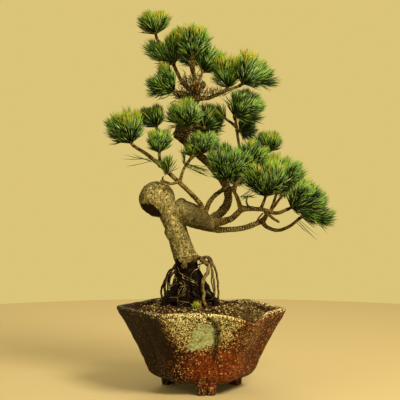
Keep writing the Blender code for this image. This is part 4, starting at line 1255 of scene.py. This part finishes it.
lobes = []
for number, degrees in enumerate(FOOT_ANGLES):
    x, y = math.cos(math.radians(degrees)), math.sin(math.radians(degrees))
    for side in (-1, 1):
        spot = FOOT_REACH * x - LOBE_APART * side * y, FOOT_REACH * y + LOBE_APART * side * x
        lobes.append(lobe(*spot, 90 + 7 * number + side))
piece("bowl_feet", mesh_of("bowl_feet", *joined(lobes)), [stoneware])

# %% [markdown]
# ## Soil
#
# The soil is a coarse grit of baked clay and pumice over peat. Its surface is a disc of rings
# that rises from the wall to the mound under the roots. On it lie some thousands of grains.

# %% Soil surface
SOIL_MIDDLE = np.array((-10.0, 0.0))
SOIL_REACH, SOIL_EDGE, MOUND_FOOT, MOUND_TOP = 88.6, 86.0, 95.5, 99


def soil_points(share, angle):
    """Points on the soil: share of the way out to the bowl's inside, on the mound's slope, with
    low hummocks 19 mm from their hollows one way and 17 mm the other."""
    wall = upright(SOIL_REACH * hexagon(angle, 1.0), angle, 0.0)[..., :2]
    flat = SOIL_MIDDLE + share[..., None] * (wall - SOIL_MIDDLE)
    edge = SOIL_EDGE + wave(angle, SOIL_EDGE)
    mound = np.interp(share, (0.57, 0.8), (MOUND_TOP, MOUND_FOOT))
    level = np.where(share < 0.8, mound, MOUND_FOOT + (share - 0.8) / 0.2 * (edge - MOUND_FOOT))
    hummock = np.sin(np.pi * flat[..., 0] / 19 + 0.6) * np.cos(np.pi * flat[..., 1] / 17 - 0.4)
    level = level + 1.5 * np.interp(share, (0.57, 0.69, 0.9, 1.0), (0, 1, 1, 0)) * hummock
    return np.concatenate([flat, level[..., None]], -1)


shares = np.linspace(1.0, 0.012, 90)[:, None]
angles = full_turn(240)[None]
top = soil_points(shares + 0 * angles, angles + 0 * shares)
clods = 0.4 * noise(top, 7, 81) + 0.8 * np.clip(1 - cells(top, 3.0, 82)[0], 0, 1) + 0.3 * noise(top, 1.6, 83)
top[..., 2] += clods - 0.6
skirt = soil_points(np.full((1, 240), 1.0), angles) * (0.97, 0.97, 1) - (0, 0, 12)
points, faces = capped(np.concatenate([skirt, top]), np.array((-10.0, 0, 74.0)), top[-1].mean(axis=0))
print("soil:", len(points), "points, highest", round(float(points[:, 2].max()), 1))


# %% Soil finish
def soil_finish():
    """Peat and baked clay: dull, in red-brown, dark and cream grains of 2 mm, with the dark peat in the gaps
    darkened further as painted shade, and khaki moss over them on the right."""
    look = Look("gritty bonsai soil", 0.95, 0.06)
    grain = look.cells(2.2)
    pick = look.node("SeparateColor", {0: grain["Color"]}).outputs["Red"]
    colour = look.ramp(pick, (0.0, "#100a06"), (0.3, "#21150b"), (0.6, "#371f10"), (0.85, "#4e371c"),
                       (0.97, "#80703f"))
    east = look.math("MULTIPLY_ADD", look.noise(6.0, 2.0), 0.04, look.axes(look.where)["X"])
    colour = look.over(colour, look.ranged(east, 0.015, 0.035, 0.0, 0.3), "#6a5827")
    # Painted shade: each grain darkens towards its edge, into the gap.
    gap = look.ranged(grain["Distance"], 0.25, 0.6, 1.0, 0.35)
    return look.dress(Base_Color=look.over("#0e0805", gap, colour), Normal=look.bump(0.8, 0.0008, gap))


piece("soil_bed", mesh_of("soil_bed", points, faces), [soil_finish()], ("soil",))

# %% [markdown]
# A grain is a twenty-sided stone, squashed and turned at random, half sunk in the soil. Four
# plain tints are dealt out to them: brick, dark clay, cream pumice and olive, with more of the
# last two on the mossy right.

# %% Grains
GRAIN_COUNT = 3600
GRAIN_TINTS = {"brick": "#472413", "dark clay": "#20140b", "pumice": "#9a8a58", "olive": "#5c5630"}
TINT_EDGES = ((0.38, 0.2), (0.7, 0.25), (0.88, 0.2))  # where the next tint starts, and less that in moss


def icosahedron():
    """Twelve corners from the golden ratio and their twenty faces, one long."""
    g = (1 + 5**0.5) / 2
    corners = [(s, t * g, 0) for s in (-1, 1) for t in (-1, 1)]
    corners = unit([*corners, *[(z, x, y) for x, y, z in corners], *[(y, z, x) for x, y, z in corners]])
    near = np.linalg.norm(corners[:, None] - corners[None], axis=2) < 1.2
    found = [(i, j, k) for i in range(12) for j in range(i + 1, 12) for k in range(j + 1, 12)
             if near[i, j] and near[j, k] and near[i, k]]
    found = [(i, j, k) if np.linalg.det(corners[[i, j, k]]) > 0 else (i, k, j) for i, j, k in found]
    return corners, np.array(found)


def grains(count, chance):
    """Stones on the soil, 0.6 to 1.9 mm in radius, squashed, turned and dented at random."""
    corners, sides = icosahedron()
    share = np.sqrt(chance.uniform(0.16, 0.97, count))
    angle = chance.uniform(0, 2 * np.pi, count)
    middle = soil_points(share, angle)
    radius = 0.6 + 1.3 * chance.random(count) ** 2.2
    middle[:, 2] += chance.uniform(-0.5, 0.5, count) - 0.2 * radius
    turn, _ = np.linalg.qr(chance.normal(size=(count, 3, 3)))
    turn *= np.sign(np.linalg.det(turn))[:, None, None]
    squash = chance.uniform(0.6, 1.15, (count, 1, 3))
    dents = chance.uniform(0.85, 1.1, (count, 12, 1))
    shape = corners[None] * squash * dents
    points = middle[:, None] + radius[:, None, None] * np.einsum("nij,nkj->nki", turn, shape)
    faces = sides[None] + 12 * np.arange(count)[:, None, None]
    return points.reshape(-1, 3), faces.reshape(-1, 3)


grain_finishes = []
for tint, code in GRAIN_TINTS.items():
    look = Look(f"{tint} grain", 0.9, 0.08)
    grain_finishes.append(look.dress(Base_Color=code, Normal=look.bump(0.5, 0.0003, look.noise(0.8, 2.0))))
chance = np.random.default_rng(11)
points, faces = grains(GRAIN_COUNT, chance)
mossy = np.clip((points[::12, 0] - 20) / 30, 0, 1)
draw = chance.random(GRAIN_COUNT)
kinds = sum((draw > edge - less * mossy).astype(int) for edge, less in TINT_EDGES)
grain_mesh = mesh_of("soil_grains", points, faces, np.repeat(kinds, 20))
grain_mesh.shade_flat()
piece("soil_grains", grain_mesh, grain_finishes)

# %% [markdown]
# ## Bare roots
#
# Between trunk and soil the roots stand in the open. Slim ones leave the bundle, loop outwards
# and run down to the soil, tan on the right and dark on the left. Over the black bundle itself
# lie many thin pale strands.

# %% Root lines
ROOTS = {
    "root_loop_right": (1.4, (
        (-8, -4, 153), (8, -4, 157), (15, -3, 145), (19, -2, 131), (20, -2, 116), (20, -1, 92))),
    "root_thread_right": (0.95, ((-8, 8, 145), (9, 11, 149), (14, 12, 135), (16, 13, 119), (15, 15, 92))),
    "root_loop_left": (1.4, ((-22, -4, 140), (-38, -6, 136), (-46, -8, 125), (-48, -8, 113), (-44, -8, 92))),
    "root_thread_left": (1.1, ((-22, 5, 142), (-38, 9, 140), (-44, 11, 126), (-45, 12, 114), (-40, 12, 92))),
}
MORE_TAN = (
    (2.7, ((-21, -15, 146), (-17.5, -17, 152.5), (-10, -16.5, 156.3), (-3, -12.5, 156.5), (3, -9, 154))),
    (2.0, ((-2, -11, 153), (3, -13, 151), (8.6, -15, 144.5), (4.3, -17.5, 134), (1.8, -19, 127.5),
           (0.6, -20.5, 120.5), (2.9, -21.5, 114.5), (1.8, -23, 108.5), (7.5, -26, 98), (9, -27, 93))),
    (1.2, ((-3, -11, 155), (6, -12, 156), (11, -8, 149), (13, -6, 138), (15, -6, 127),
           (15.5, -7, 112), (14, -7, 95))),
    (0.9, ((0, -9, 152), (9, -6, 151), (12.5, -2, 141), (12, 0, 130), (14, 1, 118), (17, 2, 95))),
    (0.8, ((1, -10, 150), (5, -14, 153), (9, -12, 148), (7, -13, 141), (3, -15, 137))),
)
MORE_DARK = (
    (1.1, ((-29, -6, 150), (-33, -8, 145), (-40, -10, 133), (-43, -11, 122),
           (-41, -12, 108), (-37, -12, 96))),
    (0.9, ((-30, -4, 144), (-35, -6, 136), (-38, -8, 128), (-37, -9, 117), (-33, -10, 108))),
    (1.2, ((-27, 8, 148), (-36, 12, 138), (-41, 15, 122), (-39, 17, 105), (-36, 18, 94))),
    (1.4, ((-12, 14, 150), (-4, 22, 140), (4, 27, 124), (5, 29, 108), (4, 31, 94))),
    (1.2, ((-24, 12, 150), (-28, 22, 138), (-31, 27, 120), (-28, 30, 104), (-27, 31, 94))),
    (1.7, ((26, 8, 95), (30, 11, 99.5), (36, 15, 100), (44, 19, 98.5), (52, 23, 95))),
)
print("looping roots:", len(ROOTS) + len(MORE_TAN) + len(MORE_DARK))

# %% Root tubes
tan_root = bark("tan bare root", "#160f07", "#4d3f23", "#917d50", "#4a4529", 0.6)[0].material
dark_root = bark("dark bare root", "#0b0705", "#241810", "#5a4629", "#1a120b", 0.6)[0].material


def rooty_tube(radius, points, seed, sides=9):
    """A root that thins a little downwards and wanders by a fraction of its own width."""
    centres, _ = smooth_path(points, np.ones(len(points)))
    centres = centres + 0.5 * radius * noises(centres, 6, seed)
    radii = np.linspace(1.08, 0.85, len(centres)) * radius
    return barked_tube(centres, radii, sides, seed, spacing=8.0, collar=0.35, depth=0.03)


def roots_piece(name, nodes, more, material, seed, sides):
    """The source's roots of these nodes and the extra ones, in one piece."""
    tubes = [rooty_tube(*ROOTS[node], seed + i) for i, node in enumerate(nodes)]
    tubes += [rooty_tube(*row, seed + 20 + i, sides) for i, row in enumerate(more)]
    relief_piece(name, tubes, [material], nodes)


roots_piece("tan_roots", ("root_loop_right", "root_thread_right"), MORE_TAN, tan_root, 400, 12)
roots_piece("dark_roots", ("root_loop_left", "root_thread_left"), MORE_DARK, dark_root, 440, 9)

# %% [markdown]
# A strand follows the bundle's side. Its distance from the bundle's axis at each level is read
# from the legs and the column by the same rule that made them, so it lies on the surface.

# %% Strands on the bundle
LEG_RADIUS = 5.2
STRAND_COUNT = 76


def bundle_reach(angle, level):
    """How far the bundle's skin is from its axis (-16, 0): the farthest a leg or the column gets."""
    reach = np.interp(level, (92, 123, 142, 152), (20, 15.5, 13.8, 13.8))
    for degrees, out in zip(LEG_ANGLES, LEG_FOOT_OUT):
        turn = math.radians(degrees)
        middle = np.interp(level, (92, 108, 126, 142), (out + 6, out - 5, 14, 9))
        away = np.abs((angle - turn + np.pi) % (2 * np.pi) - np.pi)
        off = middle * np.sin(np.minimum(away, np.pi / 2))
        skin = middle * np.cos(away) + np.sqrt(np.clip(LEG_RADIUS**2 - off**2, 0, None))
        reach = np.where((off < LEG_RADIUS) & (away < 1.2), np.maximum(reach, skin), reach)
    return reach


chance = np.random.default_rng(21)
strands = []
for i in range(STRAND_COUNT):
    length = chance.uniform(7, 30)
    high = chance.uniform(99 + 0.6 * length, 151)
    start = chance.uniform(0, 2 * np.pi)
    t = np.linspace(0, 1, max(6, int(length / 1.5)))
    angle = start + chance.normal(0, 0.9) * t + 0.25 * np.sin(6 * t + chance.uniform(0, 6))
    level = np.maximum(high - length * t + 1.5 * np.sin(9 * t + start), 94)
    line = upright(bundle_reach(angle, level) + 0.5, angle, level) + (-16, 0, 0)
    radius = chance.uniform(0.25, 0.5)
    radii = np.linspace(1, 0.5, len(t)) * radius
    strands.append(barked_tube(line, radii, 6, 500 + i, spacing=3.0, collar=0.0))
pale_root = bark("pale root strand", "#2a2012", "#6c5e3d", "#a89a70", "#40351f", 0.5)[0].material
strand_mesh = relief_piece("root_strands", strands, [pale_root, dark_root])
# Two strands in seven are pale.
kinds = np.concatenate([np.full(len(skin[1]), i % 7 > 1) for i, (skin, _) in enumerate(strands)])
strand_mesh.polygons.foreach_set("material_index", kinds.astype(np.int32))

# %% [markdown]
# ## What is left over
#
# An old tree keeps things that its next trimming will take: stray needles that point out of the
# tufts and hang under them, brown dead ones at the bough junctions, tufts of moss on the soil, a
# ripe cone, a dead twig and sawn stubs. The needles and the moss are the same thin meshes. A few
# are given by their roots and tips, and the rest are scattered round a place.

# %% Stray needles
DOWNWARD = np.array((0, -0.2, -1.0))


def between(roots, tips):
    """Roots, ways and lengths of needles from their roots and tips."""
    gap = tips - roots
    lengths = np.linalg.norm(gap, axis=1)
    return roots, gap / lengths[:, None], lengths


def scattered(middle, size, way, spread, length, count, chance):
    """Needles with roots within size of a middle, round a way, within a spread of degrees."""
    roots = np.array(middle, float) + np.array(size, float) * chance.uniform(-1, 1, (count, 3))
    ways = unit(unit(way) + math.tan(math.radians(spread)) * chance.normal(0, 0.6, (count, 3)))
    return roots, ways, length * chance.uniform(0.75, 1.1, count)


STRAYS = (
    ((-60, -17, 272), (-92, -20, 276)), ((-60, -17, 271), (-91, -22, 262)),
    ((-58, -17, 270), (-84, -24, 279)), ((-62, -16, 274), (-96, -16, 271)),
    ((115, 2, 203), (139, -2, 178)), ((114, 2, 202), (137, -4, 175)),
    ((112, 3, 200), (128, 8, 182)), ((109, -22, 213), (131, -30, 206)), ((108, -22, 212), (127, -34, 200)),
)
HANGING = (
    ((-21, -16, 268), (1.5, 1, 2), (-0.05, -0.2, 1), 14, 22, 10),
    ((-16, -16, 265), (5, 1, 2.5), (1, -0.2, -0.35), 16, 33, 16),
    ((50, -22, 226), (6, 4, 4), (0.9, -0.2, 0.25), 22, 20, 8),
    ((-42, -20, 257), (5, 3, 3), (0, -0.3, 1), 36, 24, 26),
    ((-42, -20, 262), (3, 3, 3), (-0.6, -0.5, 0.8), 20, 20, 10),
)
DEAD = (
    ((-9, 0, 350), (7, 5, 7), (0.1, -0.5, 0.7), 48, 18, 90),
    ((-16, 0, 348), (7, 5, 5), (-0.6, -0.4, 0.2), 40, 17, 50),
    ((-12, -1, 370), (12, 5, 8), (0.0, -0.5, -0.6), 45, 16, 90),
    ((-26, -4, 350), (6, 5, 4), (-0.4, -0.4, 0.3), 40, 13, 40),
    ((12, -2, 351), (16, 4, 3), (0.2, -0.5, 0.8), 35, 12, 60),
    ((-16, 0, 304), (7, 8, 8), (0.2, -0.7, -0.5), 40, 11, 40),
)
MOSS = (
    ((-6, -37, 98.5), (3, 2, 2.2), (0, -0.2, 1), 32, 8.5, 100),
    ((34, -30, 96), (5, 4, 1), (0, -0.2, 1), 40, 3.5, 60),
)
chance = np.random.default_rng(61)
strays = between(*np.swapaxes(np.array(STRAYS, float), 0, 1))
green, dead, moss = ([scattered(*row, chance) for row in rows] for rows in (HANGING, DEAD, MOSS))
grown = []
for heap, names, most_bend in (([strays, *green], ("green", "lime", "dim", "shade"), 0.2),
                               (dead, ("straw", "rust", "rust", "dim"), 0.06),
                               (moss, ("lime", "gold", "straw", "fresh"), 0.2)):
    roots, ways, lengths = (np.concatenate(part) for part in zip(*heap))
    tint = drawn(names, len(roots), chance)
    grown.append(dressed_needles(roots, ways, lengths, DOWNWARD, (tint, tint, tint), chance, most_bend))
needle_piece("stray_needles", grown)

# %% [markdown]
# The cone is a spindle with overlapping scales in a spiral, open at their lower edges. The scales
# are ridges in its surface: a tooth wave along the cone, shifted with the turn. The dead twig and
# the stubs are bark tubes with blunt ends.

# %% Cone and stubs
def cone_skin(middle, radius, height):
    """A spindle of radius times sin^0.7, stepped out by the scales: (1 - the fraction of row + turn)."""
    t = np.linspace(0.04, 0.96, 60)[:, None]
    turn = full_turn(48)[None]
    row = 7 * t + 0.5 * np.sign(np.sin(4 * turn))
    scale = 1 + 0.28 * (1 - row % 1) * np.abs(np.sin(4 * turn)) ** 0.5
    grid = upright(radius * np.sin(np.pi * t) ** 0.7 * scale, turn, height * (t - 0.5)) + middle
    relief = np.append(np.clip((scale - 1) * 4, 0, 1), (0, 0))
    return capped(grid, grid[0].mean(axis=0), grid[-1].mean(axis=0)), relief


STUBS = (
    ((1.6, 1.3), ((-12, 0, 345), (-18, -4, 347), (-25, -7, 351), (-32, -9, 354.5))),
    ((1.9, 1.4), ((-27, -17, 247), (-30, -18, 246), (-36, -20, 244.5), (-42, -21, 246.5), (-48, -22, 248))),
    ((1.3, 0.9), ((-38, -20, 245), (-40, -21, 241.5), (-41, -22, 238.5))),
    ((1.2, 0.9), ((-43, -21, 246.5), (-46, -22, 250), (-45, -23, 253))),
    ((1.9, 1.6), ((76, -21, 211), (84, -24, 204), (91, -26, 199.5))),
    ((1.3, 0.8), ((56, -20, 216), (53, -22, 223), (54, -24, 230))),
    ((1.2, 0.9), ((66, 8, 196), (69, 4, 203), (74, 2, 209))),
)
relief_piece("ripe_cone", [cone_skin((2.0, -4.0, 362.5), 3.3, 10.5)], [dark_bark])
stubs = [barked_tube(*smooth_path(line, ends), 9, 700 + i, spacing=2.0, collar=0.3)
         for i, (ends, line) in enumerate(STUBS)]
relief_piece("dead_stubs", stubs, [young_bark])

# %% [markdown]
# ## Floor and light
#
# The plant stands on a plain pale floor in soft light. The key lamp is high on the right, as the
# bright right sides of trunk and bowl show, and a weaker one fills from the left.

# %% Floor
FLOOR_REACH, FLOOR_SIDES = 900, 96
floor_points = np.vstack([upright(FLOOR_REACH, full_turn(FLOOR_SIDES), 0.0), (0, 0, 0)])
edge = np.arange(FLOOR_SIDES)
floor_faces = np.column_stack([edge, (edge + 1) % FLOOR_SIDES, np.full(FLOOR_SIDES, FLOOR_SIDES)])
floor = in_scene("floor", mesh_of("floor", floor_points, floor_faces))
floor.data.materials.append(Look("pale floor", 0.8, 0.5).dress(Base_Color="#a3956e"))
world = bpy.data.worlds.new("studio")
bpy.context.scene.world = world
world.use_nodes = True
sky = world.node_tree.nodes["Background"].inputs
sky["Color"].default_value = linear("#e0c97c")
sky["Strength"].default_value = 0.95
print("floor", 2 * FLOOR_REACH, "mm across")


# %% Lamps
def lamp(name, place, size, watts, colour):
    """A square lamp at place in millimetres that looks at the middle of the plant."""
    data = bpy.data.lights.new(name, "AREA")
    data.size = size
    data.energy = watts
    data.color = linear(colour)[:3]
    made = in_scene(name, data)
    made.location = metres(place)
    aim = Vector(metres((20, 0, 240)) - metres(place))
    made.rotation_euler = aim.to_track_quat("-Z", "Y").to_euler()


lamp("key", (750, -900, 1250), 0.6, 48, "#fff0d0")
lamp("fill", (-1100, -700, 500), 1.2, 5, "#fff4e0")
lamp("rim", (-200, 1100, 1100), 0.8, 8, "#fff0d8")
print("lamps lit")
